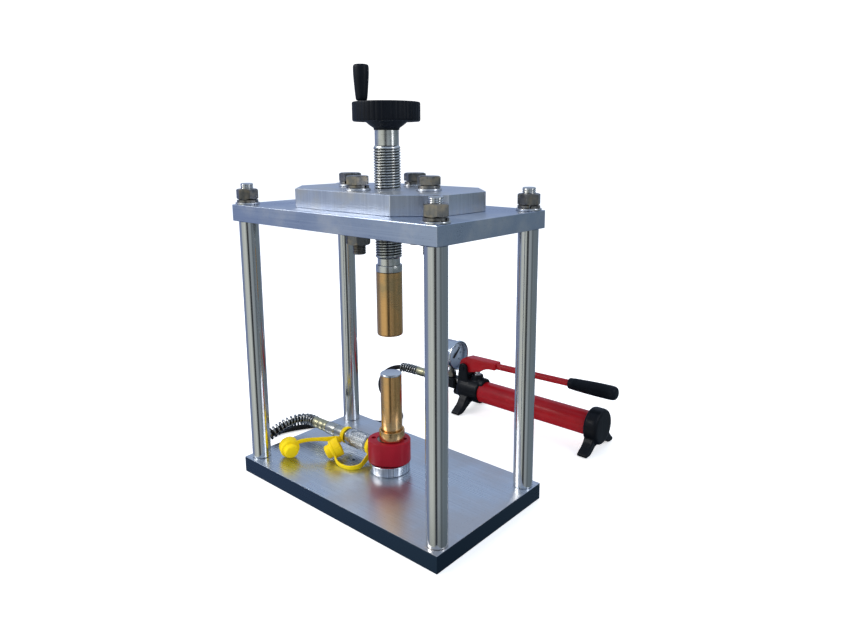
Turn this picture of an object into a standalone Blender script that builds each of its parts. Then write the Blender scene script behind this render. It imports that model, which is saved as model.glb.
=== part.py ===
"""Bench tablet press: a four-column frame with a hand screw above and a small hydraulic ram below.

A hand pump with a gauge stands behind the frame and feeds the ram through a hose.
Units are metres, +Z is up. The origin is the centre of the base plate's underside, +X runs along
the plates' long side towards the pump's lever grip, and +Y runs back towards the pump.
"""
import math

import bmesh
import bpy
from mathutils import Matrix, Vector

# ---------------------------------------------------------------- driving dimensions
GAP = 0.0003                    # clearance kept between pieces that touch

BASE_LENGTH = 0.430
BASE_WIDTH = 0.245
BASE_THICKNESS = 0.026
TOP_LENGTH = 0.428
TOP_WIDTH = 0.237
TOP_THICKNESS = 0.026
COLUMN_HEIGHT = 0.400           # free height between the two plates
COLUMN_RADIUS = 0.015
COLUMN_X = 0.197
COLUMN_Y = 0.101

STUD_RADIUS = 0.0097            # the M20 ends of columns and the block's bolts
HOLE_RADIUS = 0.0103
HEX_FLATS = 0.030               # across flats of the M20 nuts and bolt heads
HEX_RADIUS = HEX_FLATS / math.sqrt(3.0)
NUT_HEIGHT = 0.016
HEAD_HEIGHT = 0.0125
FLAT_WASHER = (0.0185, 0.003)   # radius, thickness
SPRING_WASHER = (0.0165, 0.0046)

SCREW_X = 0.007                 # the screw, the ram and both pressing posts share this axis
SCREW_Y = 0.007
SCREW_RADIUS = 0.020
SHANK_RADIUS = 0.0179
NECK_RADIUS = 0.0173
BLOCK_LENGTH = 0.306
BLOCK_WIDTH = 0.190
BLOCK_CHAMFER = 0.054
BLOCK_THICKNESS = 0.028
BLOCK_BOLT_X = 0.083            # bolts stand on the block's two middle lines
BLOCK_BOLT_Y = 0.060

WHEEL_RADIUS = 0.050
GRIP_ANGLE = math.radians(-124.0)
GRIP_OFFSET = 0.0360            # from the wheel's axis to the grip's spindle

RAM_X = 0.0025                  # the ram's own axis; the loose post stands a little off it
RAM_Y = 0.005
RAM_ANGLE = math.radians(35.0)
RAM_LENGTH = 0.069
RAM_WIDTH = 0.054
RAM_BORE = 0.0195
RAM_SIDE = -0.0238              # X of the ram's wall where the coupler enters it
COUPLER_Y = 0.007
HOSE_LINE_Z = 0.0525            # height of the coupler's axis beside the ram

PUMP_Y = 0.336
BARREL_Z = 0.044
BARREL_RADIUS = 0.022
BARREL_WALL = 0.0025
PORT_Z = 0.0475
VALVE_Z = 0.0285
PIVOT_X = -0.098
PIVOT_Z = 0.090
PIN_RADIUS = 0.004
PLUNGER_X = -0.072
GAUGE_Z = 0.108
GAUGE_RADIUS = 0.031

HOSE_RADIUS = 0.005
HOSE_ROUTE = [                  # from the ram's ferrule to the pump's ferrule
    (-0.1883, 0.007, 0.0525), (-0.202, 0.007, 0.0525), (-0.215, 0.002, 0.0515),
    (-0.226, -0.008, 0.0495), (-0.232, -0.022, 0.0465), (-0.234, -0.036, 0.042),
    (-0.238, -0.050, 0.036), (-0.247, -0.061, 0.0285), (-0.260, -0.066, 0.0205),
    (-0.273, -0.063, 0.0135), (-0.284, -0.053, 0.009), (-0.290, -0.038, 0.0063),
    (-0.292, -0.018, 0.0053), (-0.288, 0.008, 0.0053), (-0.278, 0.034, 0.0053),
    (-0.264, 0.058, 0.0053), (-0.247, 0.080, 0.0053), (-0.2325, 0.103, 0.0053),
    (-0.2235, 0.1235, 0.0053), (-0.208, 0.1370, 0.0053), (-0.188, 0.1435, 0.0053), (-0.171, 0.151, 0.0053),
    (-0.158, 0.163, 0.0053), (-0.154, 0.182, 0.0053), (-0.163, 0.201, 0.0053),
    (-0.183, 0.216, 0.0053), (-0.205, 0.229, 0.0053), (-0.228, 0.239, 0.0062),
    (-0.250, 0.2475, 0.0085), (-0.270, 0.256, 0.0125), (-0.286, 0.265, 0.0185),
    (-0.298, 0.277, 0.026), (-0.305, 0.291, 0.034), (-0.306, 0.306, 0.0405),
    (-0.300, 0.320, 0.045), (-0.288, 0.330, 0.047), (-0.272, 0.335, 0.0475),
    (-0.256, 0.336, 0.0475), (-0.2403, 0.336, 0.0475),
]

TOP_Z = BASE_THICKNESS + COLUMN_HEIGHT          # underside of the top plate
BLOCK_Z = TOP_Z + TOP_THICKNESS + GAP           # underside of the screw block
BLOCK_TOP = BLOCK_Z + BLOCK_THICKNESS
SCREW_AXIS = Vector((SCREW_X, SCREW_Y, 0.0))
RAM_AXIS = Vector((RAM_X, RAM_Y, 0.0))


# ---------------------------------------------------------------- tools of this script
def clear_scene():
    for obj in list(bpy.data.objects):
        bpy.data.objects.remove(obj, do_unlink=True)
    for name in ("tablet_press", "cutters"):
        collection = bpy.data.collections.new(name)
        bpy.context.scene.collection.children.link(collection)


def material(name, color, roughness, metallic):
    mat = bpy.data.materials.new(name)
    mat.use_nodes = True
    shader = mat.node_tree.nodes["Principled BSDF"]
    shader.inputs["Base Color"].default_value = (*color, 1.0)
    shader.inputs["Roughness"].default_value = roughness
    shader.inputs["Metallic"].default_value = metallic
    mat.diffuse_color = (*color, 1.0)
    return mat


def add_object(name, data, look, place=(0.0, 0.0, 0.0), turn=(0.0, 0.0, 0.0)):
    """Puts a mesh or curve into the part's collection with its own copy of the look."""
    obj = bpy.data.objects.new(name, data)
    bpy.data.collections["tablet_press"].objects.link(obj)
    obj.location = place
    obj.rotation_euler = turn
    if look is not None:
        data.materials.append(material(name, *look))
    return obj


def mesh_from(name, build):
    """A mesh made by one bmesh function."""
    bm = bmesh.new()
    build(bm)
    mesh = bpy.data.meshes.new(name)
    bm.to_mesh(mesh)
    bm.free()
    return mesh


def turned(name, profile, look, place=(0.0, 0.0, 0.0), turn=(0.0, 0.0, 0.0), steps=24, ring=False):
    """Revolves (radius, height) points about the local Z axis; a ring's profile is closed."""
    mesh = bpy.data.meshes.new(name)
    count = len(profile)
    edges = [(i, i + 1) for i in range(count - 1)]
    if ring:
        edges.append((count - 1, 0))
    mesh.from_pydata([(radius, 0.0, height) for radius, height in profile], edges, [])
    obj = add_object(name, mesh, look, place, turn)
    screw = obj.modifiers.new("turn", "SCREW")
    screw.axis = "Z"
    screw.angle = math.tau
    screw.steps = steps
    screw.render_steps = steps
    screw.use_merge_vertices = True
    screw.merge_threshold = 0.00001
    screw.use_smooth_shade = True
    return obj


def block(name, size, look, place, bevel=0.0):
    """A box centred on its place, with small rounded edges."""
    mesh = mesh_from(name, lambda bm: bmesh.ops.create_cube(bm, size=1.0, matrix=Matrix.Diagonal((*size, 1.0))))
    obj = add_object(name, mesh, look, place)
    if bevel:
        edge = obj.modifiers.new("edges", "BEVEL")
        edge.width = bevel
        edge.segments = 2
        edge.limit_method = "ANGLE"
    return obj


def prism(name, radius, height, look, place, sides=6, turn=(0.0, 0.0, 0.0)):
    """A regular prism or cylinder centred on its place."""
    def build(bm):
        bmesh.ops.create_cone(bm, cap_ends=True, segments=sides, radius1=radius, radius2=radius, depth=height)
    return add_object(name, mesh_from(name, build), look, place, turn)


def weld_to_mesh(curve_object):
    """Replaces a curve object by the welded mesh of its evaluated shape."""
    name = curve_object.name
    place = curve_object.matrix_world.copy()
    bpy.context.view_layer.update()
    evaluated = curve_object.evaluated_get(bpy.context.evaluated_depsgraph_get())
    mesh = bpy.data.meshes.new_from_object(evaluated)
    bpy.data.objects.remove(curve_object, do_unlink=True)
    bm = bmesh.new()
    bm.from_mesh(mesh)
    bmesh.ops.remove_doubles(bm, verts=bm.verts, dist=0.00001)
    bmesh.ops.recalc_face_normals(bm, faces=bm.faces)
    bm.to_mesh(mesh)
    bm.free()
    obj = bpy.data.objects.new(name, mesh)
    bpy.data.collections["tablet_press"].objects.link(obj)
    obj.matrix_world = place
    return obj


def outline_plate(name, outline, thickness, look, place, turn):
    """A flat outline in its local XY plane, thickened both ways along local Z."""
    curve = bpy.data.curves.new(name, "CURVE")
    curve.dimensions = "2D"
    curve.fill_mode = "BOTH"
    curve.extrude = thickness / 2.0
    spline = curve.splines.new("POLY")
    spline.points.add(len(outline) - 1)
    for point, (x, y) in zip(spline.points, outline):
        point.co = (x, y, 0.0, 1.0)
    spline.use_cyclic_u = True
    obj = weld_to_mesh(add_object(name, curve, None))
    obj.location = place
    obj.rotation_euler = turn
    if look is not None:
        obj.data.materials.append(material(name, *look))
    return obj


def tube(name, points, radius, look):
    """A round rod through the points, with closed ends."""
    curve = bpy.data.curves.new(name, "CURVE")
    curve.dimensions = "3D"
    curve.bevel_depth = radius
    curve.bevel_resolution = 2
    curve.use_fill_caps = True
    spline = curve.splines.new("POLY")
    spline.points.add(len(points) - 1)
    for point, co in zip(spline.points, points):
        point.co = (*co, 1.0)
    return add_object(name, curve, look)


def smooth_path(route, spacing):
    """Evenly spaced points on a centripetal Catmull-Rom curve through the route."""
    knots = [Vector(p) for p in route]
    knots = [2 * knots[0] - knots[1]] + knots + [2 * knots[-1] - knots[-2]]
    fine = []
    for p0, p1, p2, p3 in zip(knots, knots[1:], knots[2:], knots[3:]):
        t1 = (p1 - p0).length ** 0.5
        t2 = t1 + (p2 - p1).length ** 0.5
        t3 = t2 + (p3 - p2).length ** 0.5
        for step in range(16):
            t = t1 + (t2 - t1) * step / 16
            a1 = p0.lerp(p1, t / t1)
            a2 = p1.lerp(p2, (t - t1) / (t2 - t1))
            a3 = p2.lerp(p3, (t - t2) / (t3 - t2))
            b1 = a1.lerp(a2, t / t2)
            b2 = a2.lerp(a3, (t - t1) / (t3 - t1))
            fine.append(b1.lerp(b2, (t - t1) / (t2 - t1)))
    fine.append(knots[-2])
    total = sum((b - a).length for a, b in zip(fine, fine[1:]))
    count = round(total / spacing)
    result = [fine[0]]
    walked = 0.0
    for a, b in zip(fine, fine[1:]):
        piece = (b - a).length
        while len(result) < count and walked + piece >= total * len(result) / count:
            part = (total * len(result) / count - walked) / piece
            result.append(a.lerp(b, part))
        walked += piece
    result.append(fine[-1])
    return result


def combine(obj, other, operation):
    """Joins another solid to obj, or cuts it out, and keeps it as a hidden tool."""
    bpy.data.collections["tablet_press"].objects.unlink(other)
    bpy.data.collections["cutters"].objects.link(other)
    other.hide_render = True
    other.display_type = "WIRE"
    boolean = obj.modifiers.new(operation.lower(), "BOOLEAN")
    boolean.operation = operation
    boolean.solver = "EXACT"
    boolean.object = other


def join(obj, *others):
    for other in others:
        combine(obj, other, "UNION")


def cut(obj, *others):
    for other in others:
        combine(obj, other, "DIFFERENCE")


def drill(obj, radius, length, place, turn=(0.0, 0.0, 0.0), steps=20):
    """Cuts a round hole whose cylinder is centred on its place."""
    cut(obj, prism(obj.name + "_drill", radius, length, None, place, steps, turn))


ALONG_X = (0.0, math.radians(90.0), 0.0)        # local Z points along +X
ALONG_Y = (math.radians(-90.0), 0.0, 0.0)       # local Z points along +Y

STEEL = ((0.56, 0.60, 0.66), 0.28, 1.0)
POLISHED = ((0.72, 0.73, 0.74), 0.12, 1.0)
ZINC = ((0.50, 0.50, 0.48), 0.35, 1.0)
BRASS = ((0.62, 0.44, 0.20), 0.25, 1.0)
OLIVE = ((0.42, 0.38, 0.24), 0.35, 1.0)
RED = ((0.42, 0.02, 0.04), 0.30, 0.0)
BLACK = ((0.015, 0.016, 0.02), 0.40, 0.0)
YELLOW = ((0.85, 0.66, 0.02), 0.45, 0.0)
WHITE = ((0.80, 0.82, 0.84), 0.40, 0.0)


# ---------------------------------------------------------------- the frame
def corner_places():
    return {
        "front_left": (-COLUMN_X, -COLUMN_Y),
        "front_right": (COLUMN_X, -COLUMN_Y),
        "rear_left": (-COLUMN_X, COLUMN_Y),
        "rear_right": (COLUMN_X, COLUMN_Y),
    }


def bolt_places():
    return {
        "front": (SCREW_X, SCREW_Y - BLOCK_BOLT_Y),
        "right": (SCREW_X + BLOCK_BOLT_X, SCREW_Y),
        "rear": (SCREW_X, SCREW_Y + BLOCK_BOLT_Y),
        "left": (SCREW_X - BLOCK_BOLT_X, SCREW_Y),
    }


SOCKET_DEPTH = 0.020
JIG_HOLE = (-0.065, -0.013, 0.0026, 0.012)      # x, y, radius, depth of the small hole in the base


def base_plate():
    size = (BASE_LENGTH, BASE_WIDTH, BASE_THICKNESS)
    plate = block("base_plate", size, STEEL, (0.0, 0.0, BASE_THICKNESS / 2.0), 0.0008)
    for x, y in corner_places().values():
        drill(plate, HOLE_RADIUS, 2 * SOCKET_DEPTH, (x, y, BASE_THICKNESS))
    x, y, radius, depth = JIG_HOLE
    drill(plate, radius, 2 * depth, (x, y, BASE_THICKNESS), steps=16)


def columns():
    low = BASE_THICKNESS + GAP
    high = TOP_Z - GAP
    edge = 0.0008
    profile = [
        (0.0, 0.485), (STUD_RADIUS - 0.0015, 0.485), (STUD_RADIUS, 0.4835),
        (STUD_RADIUS, high), (COLUMN_RADIUS - edge, high), (COLUMN_RADIUS, high - edge),
        (COLUMN_RADIUS, low + edge), (COLUMN_RADIUS - edge, low), (STUD_RADIUS, low),
        (STUD_RADIUS, low - SOCKET_DEPTH + 0.001), (0.0, low - SOCKET_DEPTH + 0.001),
    ]
    for corner, (x, y) in corner_places().items():
        turned("column_" + corner, profile, POLISHED, (x, y, 0.0))


def washer_profile(flip=False):
    """A flat washer with a spring washer on it, as one stepped ring standing on z = 0."""
    flat_radius, flat_height = FLAT_WASHER
    spring_radius, spring_height = SPRING_WASHER
    total = flat_height + spring_height
    points = [
        (HOLE_RADIUS, total), (spring_radius, total), (spring_radius, flat_height),
        (flat_radius, flat_height), (flat_radius, 0.0), (HOLE_RADIUS, 0.0),
    ]
    if flip:
        points = [(radius, total - height) for radius, height in reversed(points)]
    return points


STACK = FLAT_WASHER[1] + SPRING_WASHER[1]


def column_fasteners():
    plate_top = TOP_Z + TOP_THICKNESS
    nut_low = plate_top + STACK + 2 * GAP
    for corner, (x, y) in corner_places().items():
        turned("column_washers_" + corner, washer_profile(), ZINC, (x, y, plate_top + GAP), steps=20, ring=True)
        nut = prism("column_nut_" + corner, HEX_RADIUS, NUT_HEIGHT, ZINC, (x, y, nut_low + NUT_HEIGHT / 2.0))
        drill(nut, HOLE_RADIUS, 2 * NUT_HEIGHT, nut.location)


def top_plate():
    middle = TOP_Z + TOP_THICKNESS / 2.0
    size = (TOP_LENGTH, TOP_WIDTH, TOP_THICKNESS)
    plate = block("top_plate", size, STEEL, (0.0, 0.0, middle), 0.0008)
    for x, y in (*corner_places().values(), *bolt_places().values()):
        drill(plate, HOLE_RADIUS, 2 * TOP_THICKNESS, (x, y, middle))
    drill(plate, SCREW_RADIUS + 0.002, 2 * TOP_THICKNESS, (SCREW_X, SCREW_Y, middle), steps=32)


def screw_block():
    """An octagonal slab with the screw's tapped hole in its middle."""
    def build(bm):
        size = (BLOCK_LENGTH, BLOCK_WIDTH, BLOCK_THICKNESS, 1.0)
        bmesh.ops.create_cube(bm, size=1.0, matrix=Matrix.Diagonal(size))
        upright = [e for e in bm.edges if abs(e.verts[0].co.z - e.verts[1].co.z) > BLOCK_THICKNESS / 2.0]
        bmesh.ops.bevel(bm, geom=upright, offset=BLOCK_CHAMFER, segments=1, affect="EDGES")
    place = (SCREW_X, SCREW_Y, BLOCK_Z + BLOCK_THICKNESS / 2.0)
    slab = add_object("screw_block", mesh_from("screw_block", build), STEEL, place)
    edge = slab.modifiers.new("edges", "BEVEL")
    edge.width = 0.0006
    edge.segments = 1
    edge.limit_method = "ANGLE"
    for x, y in bolt_places().values():
        drill(slab, HOLE_RADIUS, 2 * BLOCK_THICKNESS, (x, y, place[2]))
    drill(slab, SCREW_RADIUS + GAP, 2 * BLOCK_THICKNESS, place, steps=40)


BOLT_END_Z = 0.388


def block_fasteners():
    head_low = BLOCK_TOP + STACK + 2 * GAP
    nut_high = TOP_Z - STACK - GAP
    for side, (x, y) in bolt_places().items():
        turned("block_washers_" + side, washer_profile(), ZINC, (x, y, BLOCK_TOP + GAP), steps=20, ring=True)
        head_z = head_low + HEAD_HEIGHT / 2.0
        bolt = prism("block_bolt_" + side, HEX_RADIUS, HEAD_HEIGHT, ZINC, (x, y, head_z))
        shank_length = head_z - BOLT_END_Z
        shank_z = (head_z + BOLT_END_Z) / 2.0
        join(bolt, prism("bolt_shank", STUD_RADIUS, shank_length, None, (x, y, shank_z), 20))
        nut = prism("block_nut_" + side, HEX_RADIUS, NUT_HEIGHT, ZINC, (x, y, nut_high - NUT_HEIGHT / 2.0))
        stack = turned("nut_washers", washer_profile(flip=True), None, (x, y, nut_high - 0.0001), steps=20, ring=True)
        join(nut, stack)
        drill(nut, HOLE_RADIUS - 0.0001, 3 * NUT_HEIGHT, (x, y, nut_high))


# ---------------------------------------------------------------- the screw and what it carries
NECK_TOP = 0.3745
COLLAR_TOP = 0.3642
ANVIL_TOP = 0.3537
ANVIL_BOTTOM = 0.2535
UPPER_RADIUS = 0.0201
FLANGE = (0.0150, 0.3385, 0.3457)               # radius, underside, top of the screw's captive flange
SPIGOT_RADIUS = 0.0117
HUB_BOTTOM = 0.5653
THREAD_TOP = 0.541


def press_screw():
    flange_radius, flange_low, flange_high = FLANGE
    profile = [
        (0.0, 0.599), (0.0135, 0.599), (0.0135, HUB_BOTTOM - GAP),
        (SHANK_RADIUS, HUB_BOTTOM - GAP), (SHANK_RADIUS, THREAD_TOP + 0.002),
        (SCREW_RADIUS, THREAD_TOP), (SCREW_RADIUS, NECK_TOP + 0.0015),
        (NECK_RADIUS, NECK_TOP), (NECK_RADIUS, COLLAR_TOP + GAP),
        (SPIGOT_RADIUS, COLLAR_TOP + GAP), (SPIGOT_RADIUS, flange_high),
        (flange_radius, flange_high), (flange_radius, flange_low),
        (0.006, flange_low), (0.004, flange_low - 0.003), (0.0, flange_low - 0.004),
    ]
    turned("press_screw", profile, STEEL, SCREW_AXIS, steps=32)


def upper_anvil():
    flange_radius, flange_low, _ = FLANGE
    pocket = flange_radius + 0.0004
    pocket_floor = flange_low - 0.0045
    profile = [
        (0.0, pocket_floor), (pocket, pocket_floor), (pocket, ANVIL_TOP),
        (UPPER_RADIUS - 0.0005, ANVIL_TOP), (UPPER_RADIUS, ANVIL_TOP - 0.0005),
        (UPPER_RADIUS, ANVIL_BOTTOM + 0.0025), (UPPER_RADIUS - 0.0008, ANVIL_BOTTOM + 0.0008),
        (UPPER_RADIUS - 0.0025, ANVIL_BOTTOM), (0.0, ANVIL_BOTTOM),
    ]
    turned("upper_anvil", profile, BRASS, SCREW_AXIS, steps=32)
    low = ANVIL_TOP + GAP
    outer = UPPER_RADIUS + 0.0002
    edge = 0.0006
    inner = SPIGOT_RADIUS + GAP
    collar = [
        (inner, COLLAR_TOP), (outer - edge, COLLAR_TOP), (outer, COLLAR_TOP - edge),
        (outer, low + edge), (outer - edge, low), (inner, low),
    ]
    turned("upper_collar", collar, STEEL, SCREW_AXIS, steps=32, ring=True)


def grip_place():
    x = SCREW_X + GRIP_OFFSET * math.cos(GRIP_ANGLE)
    y = SCREW_Y + GRIP_OFFSET * math.sin(GRIP_ANGLE)
    return x, y


def handwheel():
    bore = 0.0138
    profile = [
        (bore, 0.602), (0.020, 0.602), (0.022, 0.600), (0.042, 0.600), (0.0435, 0.6056),
        (0.0485, 0.6056), (WHEEL_RADIUS, 0.604), (WHEEL_RADIUS, 0.579), (0.0485, 0.5775),
        (0.0435, 0.5775), (0.042, 0.590), (0.035, 0.590), (0.031, 0.5773),
        (0.019, 0.568), (0.019, HUB_BOTTOM), (bore, HUB_BOTTOM),
    ]
    wheel = turned("handwheel", profile, BLACK, SCREW_AXIS, steps=40, ring=True)
    x, y = grip_place()
    join(wheel, prism("grip_boss", 0.008, 0.012, None, (x, y, 0.6005), 24))
    drill(wheel, 0.0043, 0.060, (x, y, 0.600))
    turned("grip_spindle", [(0.0, 0.648), (0.004, 0.648), (0.004, 0.589), (0.0, 0.589)], ZINC, (x, y, 0.0), steps=20)
    grip = [
        (0.0, 0.650), (0.0043, 0.650), (0.0043, 0.6072), (0.0076, 0.6072), (0.0084, 0.609),
        (0.0095, 0.619), (0.0107, 0.632), (0.0114, 0.645), (0.0114, 0.655), (0.0108, 0.6565),
        (0.0090, 0.6578), (0.0, 0.6580),
    ]
    grip.reverse()
    grip_outside_first = grip
    turned("wheel_grip", grip_outside_first, BLACK, (x, y, 0.0), steps=24)


# ---------------------------------------------------------------- the ram and the lower post
SEAT_TOP = 0.0415
RAM_LOW = SEAT_TOP + GAP
RAM_TOP = 0.0788
PISTON_TOP = 0.0793
POST_LOW = PISTON_TOP + GAP
COLLAR_HIGH = 0.0963
POST_RADIUS = 0.0168
CORE_RADIUS = 0.0107
CORE_HEAD_LOW = 0.1873
POST_TOP = 0.1904
CHAMBER_FLOOR = 0.0470
PISTON_HEAD = 0.0560
GLAND_LOW = 0.0710
ROD_RADIUS = 0.014


def stadium(length, width, steps=12):
    """Outline of an oblong with round ends, long along its first axis."""
    radius = width / 2.0
    half = length / 2.0 - radius
    points = []
    for side in (1.0, -1.0):
        for i in range(steps + 1):
            angle = math.radians(-90.0 + 180.0 * i / steps)
            points.append((side * (half + radius * math.cos(angle)), side * radius * math.sin(angle)))
    return points


def ram():
    seat = [
        (0.0, SEAT_TOP), (0.0318, SEAT_TOP), (0.0328, SEAT_TOP - 0.001),
        (0.0328, BASE_THICKNESS + GAP + 0.001), (0.0318, BASE_THICKNESS + GAP), (0.0, BASE_THICKNESS + GAP),
    ]
    turned("ram_seat", seat, POLISHED, RAM_AXIS, steps=32)
    middle = (RAM_LOW + RAM_TOP) / 2.0
    place = (RAM_X, RAM_Y, middle)
    turn = (0.0, 0.0, RAM_ANGLE)
    body = outline_plate("ram_body", stadium(RAM_LENGTH, RAM_WIDTH), RAM_TOP - RAM_LOW, RED, place, turn)
    edge = body.modifiers.new("edges", "BEVEL")
    edge.width = 0.0012
    edge.segments = 2
    edge.limit_method = "ANGLE"
    edge.angle_limit = math.radians(60.0)
    chamber = 2 * (RAM_TOP - CHAMBER_FLOOR)
    drill(body, RAM_BORE, chamber, (RAM_X, RAM_Y, RAM_TOP), steps=40)
    for side in (-1.0, 1.0):
        x = RAM_X + side * 0.0252 * math.cos(RAM_ANGLE)
        y = RAM_Y + side * 0.0252 * math.sin(RAM_ANGLE)
        drill(body, 0.0038, 0.020, (x, y, RAM_TOP), steps=20)
    drill(body, 0.0083, 0.020, (RAM_SIDE - 0.006, COUPLER_Y, HOSE_LINE_Z), ALONG_X)

    head = RAM_BORE - GAP
    piston = [
        (0.0, PISTON_TOP), (ROD_RADIUS, PISTON_TOP), (ROD_RADIUS, PISTON_HEAD),
        (head, PISTON_HEAD), (head, CHAMBER_FLOOR + GAP), (0.0, CHAMBER_FLOOR + GAP),
    ]
    turned("ram_piston", piston, POLISHED, RAM_AXIS, steps=36)
    gland = [
        (ROD_RADIUS + GAP, RAM_TOP - 0.0005), (head, RAM_TOP - 0.0005),
        (head, GLAND_LOW), (ROD_RADIUS + GAP, GLAND_LOW),
    ]
    turned("ram_gland", gland, ZINC, RAM_AXIS, steps=36, ring=True)


def ram_spring():
    """The return spring round the piston rod, between the piston's head and the gland."""
    wire = 0.0009
    low = PISTON_HEAD + wire + GAP
    high = GLAND_LOW - wire - GAP
    turns = 3
    per_turn = 16
    points = []
    for i in range(turns * per_turn + 1):
        angle = math.tau * i / per_turn
        height = low + (high - low) * i / (turns * per_turn)
        points.append((RAM_X + 0.0167 * math.cos(angle), RAM_Y + 0.0167 * math.sin(angle), height))
    weld_to_mesh(tube("ram_spring", points, wire, ZINC))


def lower_post():
    outer = 0.0206
    inner = POST_RADIUS + GAP
    collar = [
        (inner, COLLAR_HIGH), (outer - 0.0014, COLLAR_HIGH), (outer, COLLAR_HIGH - 0.0014),
        (outer, POST_LOW + 0.0008), (outer - 0.0008, POST_LOW), (inner, POST_LOW),
    ]
    turned("lower_collar", collar, BRASS, SCREW_AXIS, steps=32, ring=True)
    high = CORE_HEAD_LOW - GAP
    sleeve = [
        (CORE_RADIUS + GAP, high), (POST_RADIUS, high), (POST_RADIUS, POST_LOW), (CORE_RADIUS + GAP, POST_LOW),
    ]
    turned("lower_post", sleeve, BRASS, SCREW_AXIS, steps=36, ring=True)
    core = [
        (0.0, POST_TOP), (POST_RADIUS - 0.0008, POST_TOP), (POST_RADIUS, POST_TOP - 0.0008),
        (POST_RADIUS, CORE_HEAD_LOW), (CORE_RADIUS, CORE_HEAD_LOW), (CORE_RADIUS, POST_LOW), (0.0, POST_LOW),
    ]
    turned("lower_core", core, STEEL, SCREW_AXIS, steps=36)


# ---------------------------------------------------------------- coupler, caps and hose
def along_hose_line(name, profile, look, **options):
    """Turns (radius, distance left of the screw's X = 0 plane) about the coupler's axis."""
    points = [(radius, -x) for radius, x in profile]
    return turned(name, points, look, (0.0, COUPLER_Y, HOSE_LINE_Z), ALONG_X, **options)


def coupler():
    nipple = [
        (0.0, 0.0205), (0.008, 0.0205), (0.008, 0.0308), (0.0125, 0.0308), (0.0125, 0.0450),
        (0.008, 0.0450), (0.008, 0.074), (0.0, 0.074),
    ]
    along_hose_line("coupler_nipple", nipple, ZINC, steps=28)
    sleeve = [
        (0.0083, 0.0455), (0.0140, 0.0455), (0.0150, 0.047), (0.0150, 0.0915), (0.0140, 0.093), (0.0083, 0.093),
    ]
    along_hose_line("coupler_sleeve", sleeve, ZINC, steps=32, ring=True)
    adaptor = [
        (0.0, 0.076), (0.008, 0.076), (0.008, 0.0935), (0.0105, 0.0935), (0.0105, 0.126),
        (0.0098, 0.127), (0.0108, 0.128), (0.0108, 0.150), (0.0, 0.150),
    ]
    along_hose_line("hose_adaptor", adaptor, ZINC, steps=28)
    ferrule = [(0.0, 0.1503), (0.0085, 0.1503), (0.0096, 0.153), (0.0093, 0.187), (0.0080, 0.188), (0.0, 0.188)]
    along_hose_line("ram_ferrule", ferrule, OLIVE, steps=28)


CUP = [                                         # a soft dust cap, open at +Z and domed below
    (0.0, 0.000), (0.0125, 0.000), (0.0125, 0.013), (0.0160, 0.013), (0.0160, -0.002),
    (0.0152, -0.003), (0.0112, -0.004), (0.0116, -0.010), (0.0100, -0.013), (0.0, -0.014),
]


def ring_round_hose_line(name, x, radius, thickness):
    """A small torus round the coupler's axis."""
    sides = 6
    profile = []
    for i in range(sides):
        angle = -math.tau * i / sides
        profile.append((radius + thickness * math.cos(angle), thickness * math.sin(angle)))
    return turned(name, profile, None, (x, COUPLER_Y, HOSE_LINE_Z), ALONG_X, steps=20, ring=True)


def dust_cap(name, centre, opening, strap_route, ring_x, ring_radius):
    """A cap with its strap and the strap's ring round the coupler, moulded in one piece."""
    turn = Vector(opening).to_track_quat("Z", "Y").to_euler()
    cap = turned(name, CUP, YELLOW, centre, turn, steps=24)
    strap = weld_to_mesh(tube("strap", smooth_path(strap_route, 0.006), 0.0022, None))
    ring = ring_round_hose_line("ring", ring_x, ring_radius, 0.0016)
    join(cap, strap, ring)


def dust_caps():
    hose_strap = [
        (-0.1030, -0.0047, 0.0480), (-0.108, -0.012, 0.0500), (-0.118, -0.024, 0.0510), (-0.131, -0.037, 0.0515),
        (-0.142, -0.049, 0.0510), (-0.150, -0.059, 0.0490), (-0.1530, -0.066, 0.0465),
    ]
    dust_cap("dust_cap_hose", (-0.152, -0.076, 0.0425), (-0.92, 0.38, 0.12), hose_strap, -0.1030, 0.0125)
    ram_strap = [
        (-0.039, 0.000, 0.0395), (-0.036, -0.014, 0.034), (-0.034, -0.027, 0.0305), (-0.041, -0.038, 0.0294),
        (-0.054, -0.043, 0.0290), (-0.070, -0.043, 0.0305), (-0.082, -0.038, 0.0345), (-0.0870, -0.034, 0.0360),
    ]
    dust_cap("dust_cap_ram", (-0.093, -0.032, 0.0435), (0.50, 0.76, 0.40), ram_strap, -0.039, 0.0148)


def hose():
    tube("hose", smooth_path(HOSE_ROUTE, 0.0125), HOSE_RADIUS, BLACK)


# ---------------------------------------------------------------- the hand pump
HEAD_BACK = -0.058
HEAD_FRONT = -0.112
BARREL_LEFT = HEAD_BACK + GAP
BARREL_RIGHT = 0.188
CAP_RIGHT = 0.214
CAP_RADIUS = 0.033
SPIGOT_INTO_TUBE = 0.010


def along_pump(name, profile, look, height=BARREL_Z, **options):
    """Turns (radius, X) points, listed from high X to low X on the outside, about the pump's axis."""
    return turned(name, profile, look, (0.0, PUMP_Y, height), ALONG_X, **options)


def foot_saddle(name, x, thickness, height):
    """A pair of splayed feet under the pump, one outline in the YZ plane."""
    right = [
        (0.0, 0.0170), (0.012, 0.0160), (0.024, 0.0090), (0.036, 0.0), (0.050, 0.0),
        (0.052, 0.004), (0.047, 0.0085), (0.037, 0.016), (0.028, 0.027), (0.022, height),
    ]
    left = [(-y, z) for y, z in reversed(right[1:])]
    turn = Matrix(((0, 0, 1), (1, 0, 0), (0, 1, 0))).to_euler()
    return outline_plate(name, right + left, thickness, None, (x, PUMP_Y, 0.0), turn)


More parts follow.
